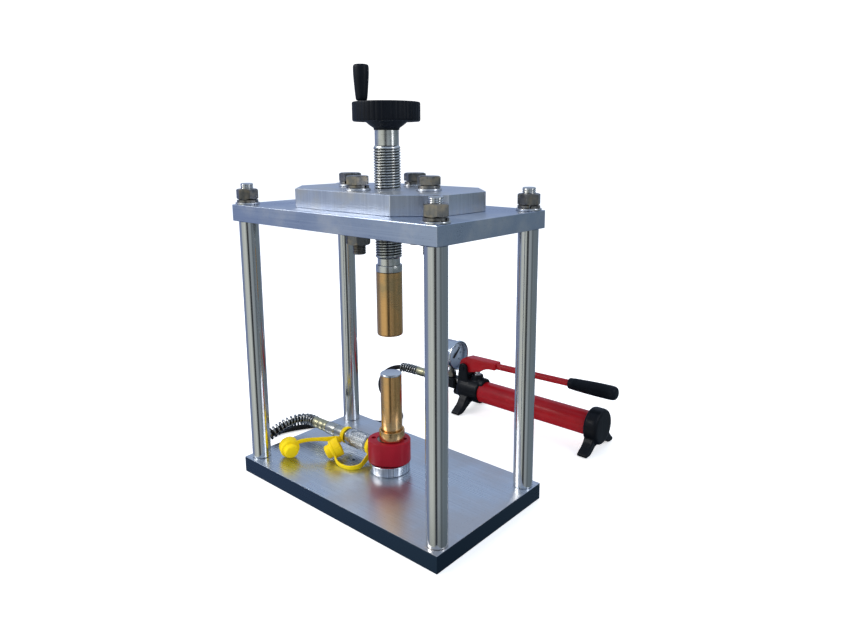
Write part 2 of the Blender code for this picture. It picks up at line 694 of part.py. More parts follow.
def pump_head():
    fit = BARREL_RADIUS - BARREL_WALL - GAP
    profile = [
        (0.0, HEAD_BACK + SPIGOT_INTO_TUBE), (fit, HEAD_BACK + SPIGOT_INTO_TUBE), (fit, HEAD_BACK),
        (0.0245, HEAD_BACK), (0.0255, HEAD_BACK - 0.002), (0.0255, HEAD_FRONT + 0.005),
        (0.0225, HEAD_FRONT), (0.0, HEAD_FRONT),
    ]
    head = along_pump("pump_head", profile, BLACK, steps=36)
    for side in (-1.0, 1.0):
        y = PUMP_Y + side * 0.0150
        lug_z = 0.072
        join(head, block("lug", (0.020, 0.006, 2 * (PIVOT_Z - lug_z)), None, (PIVOT_X, y, lug_z)))
        join(head, prism("lug_eye", 0.010, 0.006, None, (PIVOT_X, y, PIVOT_Z), 24, ALONG_Y))
    join(head, prism("guide", 0.0115, 0.024, None, (PLUNGER_X, PUMP_Y, 0.066), 24))
    join(head, foot_saddle("front_feet", -0.090, 0.020, 0.034))
    drill(head, 0.0073, 0.062, (PLUNGER_X, PUMP_Y, 0.078))
    drill(head, PIN_RADIUS + GAP, 0.060, (PIVOT_X, PUMP_Y, PIVOT_Z), ALONG_Y)
    drill(head, 0.0083, 0.020, (HEAD_FRONT, PUMP_Y, PORT_Z + 0.004), ALONG_X)
    drill(head, 0.0043, 0.020, (HEAD_FRONT, PUMP_Y, VALVE_Z), ALONG_X)


def pump_body():
    inner = BARREL_RADIUS - BARREL_WALL
    tube_profile = [
        (inner, BARREL_RIGHT - GAP), (BARREL_RADIUS, BARREL_RIGHT - GAP), (BARREL_RADIUS, BARREL_LEFT),
        (inner, BARREL_LEFT),
    ]
    along_pump("pump_barrel", tube_profile, RED, steps=40, ring=True)
    fit = inner - GAP
    cap_profile = [
        (0.0, CAP_RIGHT), (CAP_RADIUS - 0.006, CAP_RIGHT), (CAP_RADIUS - 0.0018, CAP_RIGHT - 0.0018),
        (CAP_RADIUS, CAP_RIGHT - 0.006), (CAP_RADIUS, BARREL_RIGHT + 0.004),
        (CAP_RADIUS - 0.002, BARREL_RIGHT), (fit, BARREL_RIGHT), (fit, BARREL_RIGHT - SPIGOT_INTO_TUBE),
        (0.0, BARREL_RIGHT - SPIGOT_INTO_TUBE),
    ]
    cap = along_pump("pump_end_cap", cap_profile, BLACK, steps=40)
    join(cap, foot_saddle("rear_feet", 0.200, 0.020, 0.030))


LEVER_SLOPE = 0.028
BAR_Z = 0.1064                                  # height of the lever bar's axis at X = 0


def lever():
    outline = [
        (-0.111, 0.090), (-0.110, 0.100), (-0.104, 0.107), (-0.092, 0.1125), (-0.024, 0.1135), (-0.022, 0.1125),
        (-0.022, 0.0995), (-0.048, 0.0965), (-0.058, 0.0890), (-0.072, 0.0855), (-0.086, 0.0815),
        (-0.098, 0.0800), (-0.107, 0.0830),
    ]
    upright = (math.radians(90.0), 0.0, 0.0)
    beam = outline_plate("pump_lever", outline, 0.022, RED, (0.0, PUMP_Y, 0.0), upright)
    start = -0.030
    end = 0.226
    tilt = math.atan(LEVER_SLOPE)
    middle = (start + end) / 2.0
    length = (end - start) / math.cos(tilt)
    bar_turn = (0.0, math.radians(90.0) - tilt, 0.0)
    bar_place = (middle, PUMP_Y, BAR_Z + LEVER_SLOPE * middle)
    join(beam, prism("lever_bar", 0.0063, length, None, bar_place, 24, bar_turn))
    cut(beam, block("plunger_slot", (0.036, 0.0104, 0.028), None, (-0.070, PUMP_Y, 0.0935)))
    drill(beam, PIN_RADIUS + GAP, 0.060, (PIVOT_X, PUMP_Y, PIVOT_Z), ALONG_Y)
    pin = [(0.0, 0.0195), (PIN_RADIUS, 0.0195), (PIN_RADIUS, -0.0195), (0.0, -0.0195)]
    turned("lever_pin", pin, ZINC, (PIVOT_X, PUMP_Y, PIVOT_Z), ALONG_Y, steps=20)

    grip_low = 0.141
    reach = 0.095
    grip = [
        (0.0, reach), (0.0085, reach - 0.0005), (0.0118, reach - 0.004), (0.0130, reach - 0.012),
        (0.0125, 0.050), (0.0108, 0.018), (0.0100, 0.003), (0.0085, 0.0), (0.0066, 0.0),
        (0.0066, reach - 0.008), (0.0, reach - 0.008),
    ]
    turned("lever_grip", grip, BLACK, (grip_low, PUMP_Y, BAR_Z + LEVER_SLOPE * grip_low), bar_turn, steps=24)

    plunger = prism("pump_plunger", 0.0070, 0.031, POLISHED, (PLUNGER_X, PUMP_Y, 0.0650), 24)
    join(plunger, block("tang", (0.008, 0.008, 0.024), None, (PLUNGER_X, PUMP_Y, 0.0915)))


def pump_port():
    """The block between head and hose, which also carries the gauge."""
    port = block("pump_port", (0.030, 0.026, 0.0215), BLACK, (-0.1395, PUMP_Y, PORT_Z), 0.002)
    neck_high = HEAD_FRONT + 0.009
    neck_length = 0.024
    neck_place = (neck_high - neck_length / 2.0, PUMP_Y, PORT_Z + 0.004)
    join(port, prism("port_neck", 0.0080, neck_length, None, neck_place, 24, ALONG_X))
    drill(port, 0.0063, 0.020, (-0.141, PUMP_Y, PORT_Z + 0.014))
    ferrule = [
        (0.0, -0.1548), (0.0105, -0.1548), (0.0105, -0.172), (0.0085, -0.173), (0.0085, -0.190),
        (0.0096, -0.191), (0.0093, -0.239), (0.0080, -0.240), (0.0, -0.240),
    ]
    along_pump("pump_ferrule", ferrule, OLIVE, PORT_Z, steps=28)
    knob = [
        (0.0, HEAD_FRONT + 0.008), (0.004, HEAD_FRONT + 0.008), (0.004, HEAD_FRONT - 0.0035),
        (0.0070, HEAD_FRONT - 0.004), (0.0076, HEAD_FRONT - 0.006), (0.0076, HEAD_FRONT - 0.018),
        (0.0062, HEAD_FRONT - 0.020), (0.0, HEAD_FRONT - 0.0205),
    ]
    along_pump("release_valve", knob, BLACK, VALVE_Z, steps=24)


GAUGE_FRONT = -0.121
DIAL_X = -0.133


def gauge():
    inner = GAUGE_RADIUS - 0.003
    case_profile = [
        (0.0, DIAL_X), (inner, DIAL_X), (inner, GAUGE_FRONT - 0.001),
        (GAUGE_RADIUS - 0.001, GAUGE_FRONT), (GAUGE_RADIUS, GAUGE_FRONT - 0.001),
        (GAUGE_RADIUS, GAUGE_FRONT - 0.006), (GAUGE_RADIUS - 0.002, GAUGE_FRONT - 0.007),
        (GAUGE_RADIUS - 0.002, DIAL_X - 0.021), (GAUGE_RADIUS - 0.004, DIAL_X - 0.023),
        (0.0, DIAL_X - 0.023),
    ]
    case = along_pump("gauge_case", case_profile, WHITE, GAUGE_Z, steps=32)
    stem_low = PORT_Z + 0.0045
    stem_high = GAUGE_Z - GAUGE_RADIUS + 0.008
    stem_length = stem_high - stem_low
    join(case, prism("gauge_stem", 0.0060, stem_length, None, (-0.141, PUMP_Y, (stem_low + stem_high) / 2.0), 24))
    face_x = DIAL_X
    drill(case, 0.0018, 0.008, (face_x, PUMP_Y, GAUGE_Z), ALONG_X, steps=16)
    needle_outline = [(-0.0030, -0.0022), (0.0030, -0.0022), (0.0004, 0.020), (-0.0004, 0.020)]
    tail = [(0.0022, -0.009), (-0.0022, -0.009)]
    outline = needle_outline[1:] + needle_outline[:1] + tail[::-1]
    swing = math.radians(-50.0)
    turn = (Matrix.Rotation(swing, 4, "X") @ Matrix(((0, 0, 1, 0), (1, 0, 0, 0), (0, 1, 0, 0), (0, 0, 0, 1)))).to_euler()
    needle = outline_plate("gauge_needle", outline, 0.0008, BLACK, (face_x + 0.0022, PUMP_Y, GAUGE_Z), turn)
    join(needle, prism("needle_hub", 0.0014, 0.0042, None, (face_x + 0.0004, PUMP_Y, GAUGE_Z), 16, ALONG_X))


def main():
    clear_scene()
    base_plate()
    columns()
    top_plate()
    column_fasteners()
    screw_block()
    block_fasteners()
    press_screw()
    upper_anvil()
    handwheel()
    ram()
    ram_spring()
    lower_post()
    coupler()
    dust_caps()
    hose()
    pump_head()
    pump_body()
    lever()
    pump_port()
    gauge()


main()
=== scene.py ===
"""Looks for the bench tablet press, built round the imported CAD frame. Metres, +Z up."""
import math

import bmesh
import bpy
from mathutils import Matrix, Vector


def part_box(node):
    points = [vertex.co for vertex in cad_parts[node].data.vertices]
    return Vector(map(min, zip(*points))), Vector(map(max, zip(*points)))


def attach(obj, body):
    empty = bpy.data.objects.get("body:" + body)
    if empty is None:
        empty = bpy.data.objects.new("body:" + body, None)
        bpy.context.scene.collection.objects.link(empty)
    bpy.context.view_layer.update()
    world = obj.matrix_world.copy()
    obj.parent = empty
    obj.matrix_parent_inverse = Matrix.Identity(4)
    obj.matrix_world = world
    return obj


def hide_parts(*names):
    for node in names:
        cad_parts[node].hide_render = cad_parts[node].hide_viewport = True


TAU = math.tau
PANELS = (  # place and colour of the studio's panels, anticlockwise from behind the object
    (0.0, (0.46, 0.5, 0.66)), (0.14, (0.36, 0.41, 0.62)), (0.256, (0.46, 0.5, 0.62)),
    (0.285, (0.98, 0.94, 0.8)), (0.4, (1.12, 1.06, 0.88)), (0.442, (0.72, 0.7, 0.6)),
    (0.462, (0.05, 0.05, 0.05)), (0.5, (0.07, 0.07, 0.07)), (0.525, (0.62, 0.62, 0.58)),
    (0.585, (0.5, 0.52, 0.5)), (0.62, (0.2, 0.22, 0.21)), (0.66, (0.3, 0.33, 0.33)),
    (0.82, (0.27, 0.31, 0.32)), (0.93, (0.34, 0.38, 0.44)), (1.0, (0.46, 0.5, 0.66)),
)
CORNERS = {
    "front_left": (-0.197, -0.101), "front_right": (0.197, -0.101),
    "rear_left": (-0.197, 0.101), "rear_right": (0.197, 0.101),
}
COLUMN_SEEDS = (4, 0, 3, 6)     # how far each column's nut and split washer are turned
SCREW = (0.007, 0.007)
BOLTS = {
    "front": (0.007, -0.053), "right": (0.09, 0.007), "rear": (0.007, 0.067),
    "left": (-0.076, 0.007),
}
RAM = (0.0025, 0.005)
RAM_ANGLE = math.radians(35.0)
HOSE_LINE = (0.007, 0.0525)     # y and z of the coupler's axis
PUMP_LINE = (0.336, 0.044)      # y and z of the pump's axis
PORT_LINE = (0.336, 0.0475)
HOSE_RADIUS = 0.005
LAID = 0.0053                   # height of the hose's middle where it lies on the floor
# Levels that pieces start from, just clear of the plate each names.
BASE_TOP = 0.0263
PLATE_LOW = 0.4257
PLATE_TOP = 0.4523
BLOCK_TOP = 0.4807
M20, M20_PITCH, M20_DEPTH = 0.0097, 0.0025, 0.0011  # stud and bolt thread: radius, pitch, depth
THREAD_LOW, THREAD_HIGH = 0.377, 0.54        # the press screw's threaded stretch
THREAD_ROOT, THREAD_CREST = 0.018, 0.02      # and its radii
THREAD_PITCH = 0.004
# Radii along a crimped ferrule.
CRIMPS = (0.0096, 0.0096, 0.0089, 0.0089, 0.0095, 0.0095, 0.0088, 0.0088, 0.0094, 0.0093, 0.008,
          0.0)
HOSE_ROUTE = [                  # from the ram's ferrule to the pump's ferrule
    (-0.1883, 0.007, 0.0525), (-0.202, 0.007, 0.0525), (-0.215, 0.002, 0.0515),
    (-0.226, -0.008, 0.0495), (-0.232, -0.022, 0.0465), (-0.234, -0.036, 0.042),
    (-0.238, -0.05, 0.036), (-0.247, -0.061, 0.0285), (-0.26, -0.066, 0.0205),
    (-0.273, -0.063, 0.0135), (-0.284, -0.053, 0.009), (-0.29, -0.038, 0.0063),
    (-0.292, -0.018, LAID), (-0.288, 0.008, LAID), (-0.278, 0.034, LAID), (-0.264, 0.058, LAID),
    (-0.247, 0.08, LAID), (-0.2325, 0.103, LAID), (-0.2235, 0.1235, LAID), (-0.208, 0.137, LAID),
    (-0.188, 0.1435, LAID), (-0.171, 0.151, LAID), (-0.158, 0.163, LAID), (-0.154, 0.182, LAID),
    (-0.163, 0.201, LAID), (-0.183, 0.216, LAID), (-0.205, 0.229, LAID), (-0.228, 0.239, 0.0062),
    (-0.25, 0.2475, 0.0085), (-0.27, 0.256, 0.0125), (-0.286, 0.265, 0.0185),
    (-0.298, 0.277, 0.026), (-0.305, 0.291, 0.034), (-0.306, 0.306, 0.0405), (-0.3, 0.32, 0.045),
    (-0.288, 0.33, 0.047), (-0.272, 0.335, 0.0475), (-0.256, 0.336, 0.0475),
    (-0.2403, 0.336, 0.0475),
]


# ---------------------------------------------------------------- materials
class Nodes:
    """A node tree, with short calls for the nodes used here."""

    def __init__(self, tree):
        self.tree = tree

    def node(self, kind, **values):
        node = self.tree.nodes.new(kind)
        for key, value in values.items():
            setattr(node, key, value)
        return node

    def link(self, source, target):
        self.tree.links.new(source, target)

    def feed(self, socket, value):
        """Gives a socket a number or a colour, or links an output to it."""
        if isinstance(value, (int, float)):
            socket.default_value = value
        elif isinstance(value, tuple):
            socket.default_value = (*value, 1.0)
        else:
            self.link(value, socket)

    def split(self, source):
        split = self.node("ShaderNodeSeparateXYZ")
        self.link(source, split.inputs["Vector"])
        return split.outputs

    def ramp(self, source, *stops):
        ramp = self.node("ShaderNodeValToRGB")
        elements = ramp.color_ramp.elements
        while len(elements) < len(stops):
            elements.new(0.5)
        for element, (place, color) in zip(elements, stops):
            element.position = place
            element.color = (*color, 1.0)
        self.link(source, ramp.inputs["Fac"])
        return ramp.outputs["Color"]

    def mix(self, factor, first, second, blend="MIX"):
        mix = self.node("ShaderNodeMix", data_type="RGBA", blend_type=blend)
        for socket, value in ((0, factor), (6, first), (7, second)):
            self.feed(mix.inputs[socket], value)
        return mix.outputs[2]

    def calc(self, operation, first, second=0.0):
        node = self.node("ShaderNodeMath", operation=operation)
        self.feed(node.inputs[0], first)
        self.feed(node.inputs[1], second)
        return node.outputs[0]


class Shader(Nodes):
    """A material's nodes."""

    def __init__(self, name):
        self.material = bpy.data.materials.new(name)
        self.material.use_nodes = True
        super().__init__(self.material.node_tree)
        self.surface = self.tree.nodes["Principled BSDF"]
        self.coords = self.node("ShaderNodeTexCoord").outputs["Object"]

    def noise(self, scale, stretch=(1.0, 1.0, 1.0), detail=4.0, rough=0.55):
        mapping = self.node("ShaderNodeMapping")
        mapping.inputs["Scale"].default_value = stretch
        self.link(self.coords, mapping.inputs["Vector"])
        noise = self.node("ShaderNodeTexNoise")
        for name, value in (("Scale", scale), ("Detail", detail), ("Roughness", rough)):
            noise.inputs[name].default_value = value
        self.link(mapping.outputs["Vector"], noise.inputs["Vector"])
        return noise.outputs["Fac"]

    def spread(self, source, low, high, start=0.3, end=0.7):
        spread = self.node("ShaderNodeMapRange")
        for name, value in (("From Min", start), ("From Max", end), ("To Min", low),
                            ("To Max", high)):
            spread.inputs[name].default_value = value
        self.link(source, spread.inputs["Value"])
        return spread.outputs["Result"]

    def bump(self, *layers):
        """Each layer is (height output, strength, distance in metres)."""
        previous = None
        for source, strength, distance in layers:
            bump = self.node("ShaderNodeBump")
            bump.inputs["Strength"].default_value = strength
            bump.inputs["Distance"].default_value = distance
            self.link(source, bump.inputs["Height"])
            if previous is not None:
                self.link(previous, bump.inputs["Normal"])
            previous = bump.outputs["Normal"]
        self.link(previous, self.surface.inputs["Normal"])

    def set(self, **values):
        for key, value in values.items():
            self.feed(self.surface.inputs[key.replace("_", " ")], value)
        return self.material


def paint_groove_shade(s, color, dark):
    """Paints shade into the press screw's thread grooves, found by their distance from its axis."""
    place = s.split(s.coords)
    flat = s.node("ShaderNodeCombineXYZ")
    for axis in "XY":
        s.link(place[axis], flat.inputs[axis])
    away = s.node("ShaderNodeVectorMath", operation="DISTANCE")
    s.link(flat.outputs["Vector"], away.inputs[0])
    away.inputs[1].default_value = (*SCREW, 0.0)
    # mask for the painted shade: 1 deep in the thread grooves, 0 on the crests
    deep = s.spread(away.outputs["Value"], 1.0, 0.0, THREAD_ROOT + 0.0003, THREAD_CREST - 0.0003)
    below = s.spread(place["Z"], 1.0, 0.0, 0.5385, 0.5395)
    above = s.spread(place["Z"], 0.0, 1.0, 0.3775, 0.3785)
    black = (0.0, 0.0, 0.0)
    # painted shade: the grooves of the threaded stretch take the dark colour
    return s.mix(s.mix(above, black, s.mix(below, black, deep)), color, dark)


def metal(name, light, dark, grain, rough=(0.18, 0.34), blotch=9.0, tint=None, scratch=0.25,
          spots=0.0,
          side=None, groove=None):
    """Machined metal: fine lines along the grain, soft stains, and a few pits.

    side is a painted dark reflection on upright faces, groove painted shade in the thread grooves
    of the press screw.
    """
    s = Shader(name)
    lines = s.noise(1.0, grain, 6.0, 0.7)
    stains = s.noise(blotch, detail=5.0, rough=0.6)
    color = s.ramp(lines, (0.3, dark), (0.7, light))
    if tint is not None:
        color = s.mix(s.spread(stains, 0.0, 0.75, 0.48, 0.66), color, tint)
    if spots:
        specks = s.ramp(s.noise(420.0, detail=3.0), (0.6, (1, 1, 1)), (0.72, (0.35, 0.33, 0.3)))
        color = s.mix(spots, color, specks, "MULTIPLY")
    # painted shade in the press screw's thread grooves
    if groove is not None:
        color = paint_groove_shade(s, color, groove)
    # painted reflection: upright faces take the side colour, a dark stand-in for the dark floor
    # they reflect
    if side is not None:
        up = s.split(s.node("ShaderNodeNewGeometry").outputs["Normal"])["Z"]
        color = s.mix(s.spread(up, 0.0, 1.0), side, color)
    smudge = s.mix(0.5, s.spread(lines, *rough), s.spread(stains, *rough, 0.35, 0.65))
    s.bump((lines, scratch, 0.00006), (stains, 0.1, 0.0004))
    return s.set(Base_Color=color, Roughness=smudge, Metallic=1.0)


def paint(name, color, deep, rough, coat, peel):
    """Sprayed paint: slight orange peel, faint tone changes and handling marks."""
    s = Shader(name)
    cloud = s.noise(14.0)
    skin = s.noise(650.0, detail=2.0)
    marks = s.noise(60.0, (1.0, 2.2, 0.8), 6.0, 0.7)
    tone = s.ramp(cloud, (0.32, deep), (0.68, color))
    worn = tuple(min(1.0, c * 1.25 + 0.012) for c in color)
    tone = s.mix(s.spread(marks, 0.0, 0.55, 0.6, 0.74), tone, worn)
    s.bump((skin, peel, 0.0001), (marks, 0.05, 0.0002))
    return s.set(Base_Color=tone, Roughness=s.spread(marks, *rough), Specular_IOR_Level=0.2,
                 Coat_Weight=coat * 0.4, Coat_Roughness=0.12)


def plastic(name, color, deep, rough=(0.35, 0.5), grain=900.0, depth=0.2):
    """Moulded plastic or rubber: a fine grain and a faint change of tone."""
    s = Shader(name)
    cloud = s.noise(30.0)
    s.bump((s.noise(grain, detail=2.0), depth, 0.00012))
    return s.set(Base_Color=s.ramp(cloud, (0.35, deep), (0.65, color)),
                 Roughness=s.spread(cloud, *rough), Specular_IOR_Level=0.18)


RINGS_Z = (3.0, 3.0, 1500.0)    # grain of a piece turned about Z
RINGS_X = (1500.0, 3.0, 3.0)
FINISHES = {
    "plate": (metal, "plate_steel", (0.58, 0.65, 0.78), (0.46, 0.53, 0.66), (5.0, 700.0, 500.0),
        (0.24, 0.42), 16.0, (0.7, 0.72, 0.76), 0.3, 0.2),
    # base: its last colour is a painted dark reflection on the upright sides
    "base": (metal, "base_steel", (0.74, 0.79, 0.86), (0.54, 0.58, 0.64), (5.0, 650.0, 400.0),
        (0.22, 0.38), 7.0, (0.62, 0.58, 0.56), 0.3, 0.3, (0.045, 0.08, 0.125)),
    "block": (metal, "block_steel", (0.74, 0.78, 0.86), (0.58, 0.62, 0.7), (420.0, 420.0, 9.0),
        (0.26, 0.44), 20.0, (0.66, 0.64, 0.6), 0.4, 0.15),
    "column": (metal, "column_steel", (0.76, 0.76, 0.75), (0.62, 0.62, 0.62), (330.0, 330.0, 5.0),
        (0.09, 0.18), 12.0, (0.7, 0.69, 0.64), 0.15),
    # screw: its last colour is painted shade in the thread grooves
    "screw": (metal, "screw_steel", (0.88, 0.88, 0.84), (0.62, 0.62, 0.6), RINGS_Z, (0.16, 0.32),
        30.0, (0.5, 0.48, 0.42), 0.3, 0.3, None, (0.06, 0.06, 0.055)),
    "bright": (metal, "bright_steel", (0.8, 0.81, 0.82), (0.64, 0.66, 0.68), RINGS_Z, (0.16, 0.3),
        30.0),
    "zinc": (metal, "zinc_steel", (0.29, 0.28, 0.265), (0.19, 0.185, 0.18), (300.0, 300.0, 60.0),
        (0.22, 0.42), 70.0, (0.46, 0.38, 0.27), 0.3, 0.5),
    "washer": (metal, "washer_steel", (0.82, 0.82, 0.82), (0.62, 0.62, 0.64), (200.0, 200.0, 200.0),
        (0.2, 0.34), 60.0),
    "fitting": (metal, "fitting_steel", (0.86, 0.87, 0.86), (0.4, 0.42, 0.44),
        (260.0, 260.0, 260.0), (0.2, 0.42), 160.0, (0.26, 0.28, 0.3), 0.6, 0.6),
    "adaptor": (metal, "adaptor_steel", (0.58, 0.57, 0.52), (0.38, 0.38, 0.35), RINGS_X,
        (0.22, 0.38), 60.0),
    "brass": (metal, "brass", (1.0, 0.58, 0.235), (0.72, 0.4, 0.155), RINGS_Z, (0.16, 0.32), 26.0,
        (0.5, 0.38, 0.2), 0.35, 0.2),
    "olive": (metal, "olive_brass", (0.58, 0.54, 0.34), (0.4, 0.37, 0.24), RINGS_X, (0.24, 0.4),
        60.0),
    "seat": (metal, "seat_steel", (0.92, 0.93, 0.94), (0.12, 0.13, 0.15), (240.0, 240.0, 3.0),
        (0.1, 0.24), 40.0),
    "ram": (paint, "ram_red", (0.37, 0.006, 0.02), (0.28, 0.004, 0.013), (0.3, 0.46), 0.12, 0.1),
    "pump_red": (paint, "pump_red", (0.37, 0.006, 0.012), (0.27, 0.004, 0.008), (0.26, 0.4), 0.2,
        0.1),
    "black_paint": (paint, "black_paint", (0.002, 0.004, 0.007), (0.0015, 0.002, 0.004),
        (0.34, 0.52), 0.1, 0.3),
    "black": (plastic, "black_plastic", (0.003, 0.005, 0.009), (0.002, 0.003, 0.006), (0.34, 0.5),
        700.0, 0.12),
    "yellow": (plastic, "yellow_plastic", (1.0, 0.76, 0.006), (0.94, 0.64, 0.005), (0.36, 0.5),
        500.0, 0.08),
    "rubber": (plastic, "hose_rubber", (0.01, 0.01, 0.011), (0.006, 0.006, 0.007), (0.45, 0.62),
        1500.0, 0.4),
    "wire": (metal, "guard_wire", (0.42, 0.42, 0.4), (0.12, 0.12, 0.12), (300.0, 300.0, 300.0),
        (0.16, 0.3), 90.0, (0.5, 0.5, 0.47)),
    "dial": (plastic, "dial_paper", (0.34, 0.42, 0.52), (0.28, 0.36, 0.46), (0.4, 0.5), 300.0,
        0.02),
    "dial_black": (plastic, "dial_print", (0.02, 0.02, 0.024), (0.014, 0.014, 0.018)),
    "bezel": (metal, "gauge_bezel", (0.7, 0.74, 0.78), (0.5, 0.54, 0.6), RINGS_X, (0.12, 0.24),
        40.0),
}


# ---------------------------------------------------------------- mesh tools
def add_object(name, data):
    obj = bpy.data.objects.new(name, data)
    bpy.context.scene.collection.objects.link(obj)
    return obj


def shade(mesh, degrees):
    """Shades smooth, but for edges sharper than this."""
    mesh.shade_smooth()
    mesh.set_sharp_from_angle(angle=math.radians(degrees))


def new_piece(name, bm, look, smooth=38.0):
    """Turns a bmesh into an object with one material and clean shading."""
    bmesh.ops.remove_doubles(bm, verts=bm.verts, dist=0.000001)
    bmesh.ops.recalc_face_normals(bm, faces=bm.faces)
    mesh = bpy.data.meshes.new(name)
    bm.to_mesh(mesh)
    bm.free()
    shade(mesh, smooth)
    if look is not None:
        mesh.materials.append(LOOKS[look])
    return add_object(name, mesh)


def fit(obj, body, slot, *nodes):
    """Puts a piece on its body, in the place of the CAD nodes that it shows; slot is not used."""
    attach(obj, body)
    if nodes:
        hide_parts(*nodes)
    return obj


def tube(inner, outer, high, low):
    """The profile of a plain tube, or of a disc where inner is 0."""
    return [(inner, high), (outer, high), (outer, low), (inner, low)]


def soften(profile, radius=0.0006, closed=False):
    """Rounds a profile's corners with three points each."""
    points = [Vector(p) for p in profile]
    result = []
    count = len(points)
    for i, point in enumerate(points):
        if not closed and i in (0, count - 1):
            result.append(tuple(point))
            continue
        before = points[i - 1] - point
        after = points[(i + 1) % count] - point
        reach = min(radius, before.length * 0.45, after.length * 0.45)
        if point.x < 1e-6 or reach < 1e-6 or before.angle(after, 0.0) > math.radians(170.0):
            result.append(tuple(point))
            continue
        start = point + before.normalized() * reach
        end = point + after.normalized() * reach
        middle = (start + end) / 4 + point / 2
        result.extend((tuple(start), tuple(middle), tuple(end)))
    return result


def spin_rows(bm, rows, segments, closed, where):
    """Skins rings of points; where(row, angle) gives a point, and radius 0 a single one."""
    rings = []
    for row in rows:
        if row[0] < 1e-7:
            rings.append([bm.verts.new(where(row, 0.0))])
        else:
            rings.append([bm.verts.new(where(row, TAU * i / segments)) for i in range(segments)])
    pairs = list(zip(rings, rings[1:]))
    if closed:
        pairs.append((rings[-1], rings[0]))
    for first, second in pairs:
        if len(first) == 1 and len(second) == 1:
            continue
        for i in range(segments):
            j = (i + 1) % segments
            quad = [first[i % len(first)], first[j % len(first)], second[j % len(second)],
                    second[i % len(second)]]
            corners = []
            for vert in quad:
                if vert not in corners:
                    corners.append(vert)
            bm.faces.new(corners)


def lathe(name, profile, look, at=SCREW, axis="Z", segments=96, closed=False, edge=0.0006,
          shape=None):
    """A turned piece; shape(radius, height, angle) may change the radius, as a knurl does."""
    rows = soften(profile, edge, closed) if edge else profile

    def where(row, angle):
        radius, height = row
        if shape is not None:
            radius = shape(radius, height, angle)
        a = radius * math.cos(angle)
        b = radius * math.sin(angle)
        return (at[0] + a, at[1] + b, height) if axis == "Z" else (height, at[0] + a, at[1] + b)

    bm = bmesh.new()
    spin_rows(bm, rows, segments, closed, where)
    return new_piece(name, bm, look)


def threaded(profile, low, high, pitch, depth, per_pitch=8):
    """Adds rows through the profile's stretch from high to low, and returns the matching shape."""
    rows = []
    for (r0, z0), (r1, z1) in zip(profile, profile[1:]):
        rows.append((r0, z0))
        if min(z0, z1) <= low + 1e-6 and max(z0, z1) >= high - 1e-6:
            steps = max(1, round((high - low) / pitch * per_pitch))
            sign = 1.0 if z1 > z0 else -1.0
            start = low if sign > 0 else high
            rows.extend((r0, start + sign * (high - low) * i / steps) for i in range(steps + 1))
    rows.append(profile[-1])

    def shape(radius, height, angle):
        if not low - 1e-6 <= height <= high + 1e-6:
            return radius
        fade = min(1.0, (height - low) / pitch * 1.5, (high - height) / pitch * 1.5)
        phase = (height / pitch - angle / TAU) % 1.0
        groove = max(0.0, 1.0 - abs(phase - 0.5) / 0.36)
        return radius - depth * fade * groove
    return rows, shape


def hexagon(name, at, low, high, look, flats=0.03, bore=0.0102, turn=0.0, washer_face=False):
    """A chamfered hexagon nut, or a bolt head where bore is 0."""
    half = flats / 2.0
    face = half * 0.955
    slope = math.tan(math.radians(28.0))
    segments = 72
    rings = [[] for _ in range(6)]
    for i in range(segments):
        angle = TAU * i / segments
        inside = (angle % (TAU / 6)) - TAU / 12
        outer = min(half / math.cos(inside), half * 1.148)
        drop = (outer - face) * slope
        rise = 0.0003 if washer_face else drop
        rows = ((bore, high), (face, high), (outer, high - drop), (outer, low + rise), (face, low),
                (bore, low))
        for ring, (radius, height) in zip(rings, rows):
            ring.append((at[0] + radius * math.cos(angle + turn),
                         at[1] + radius * math.sin(angle + turn), height))
    bm = bmesh.new()
    verts = [[bm.verts.new(p) for p in ring] for ring in (rings if bore else rings[1:-1])]
    order = list(zip(verts, verts[1:]))
    if bore:
        order.append((verts[-1], verts[0]))
    else:
        bm.faces.new(verts[0])
        bm.faces.new(verts[-1][::-1])
    for first, second in order:
        for i in range(segments):
            j = (i + 1) % segments
            bm.faces.new((first[i], first[j], second[j], second[i]))
    return new_piece(name, bm, look, 24.0)


def spring_washer(name, at, low, opening):
    """A split ring with a square section and a slight rise at the split."""
    inner, outer, thick, rise = 0.0104, 0.0163, 0.0034, 0.0008
    bm = bmesh.new()
    previous = None
    steps = 64
    for i in range(steps + 1):
        part = i / steps
        angle = opening + 0.1 + part * (TAU - 0.2)
        lift = low + rise * part
        ring = [
            bm.verts.new((at[0] + r * math.cos(angle), at[1] + r * math.sin(angle), lift + z))
            for r, z in ((inner, 0.0), (outer, 0.0), (outer, thick), (inner, thick))
        ]
        if previous is None:
            bm.faces.new(ring)
        else:
            for k in range(4):
                bm.faces.new((previous[k], previous[(k + 1) % 4], ring[(k + 1) % 4], ring[k]))
        previous = ring
    bm.faces.new(previous[::-1])
    return new_piece(name, bm, "zinc")


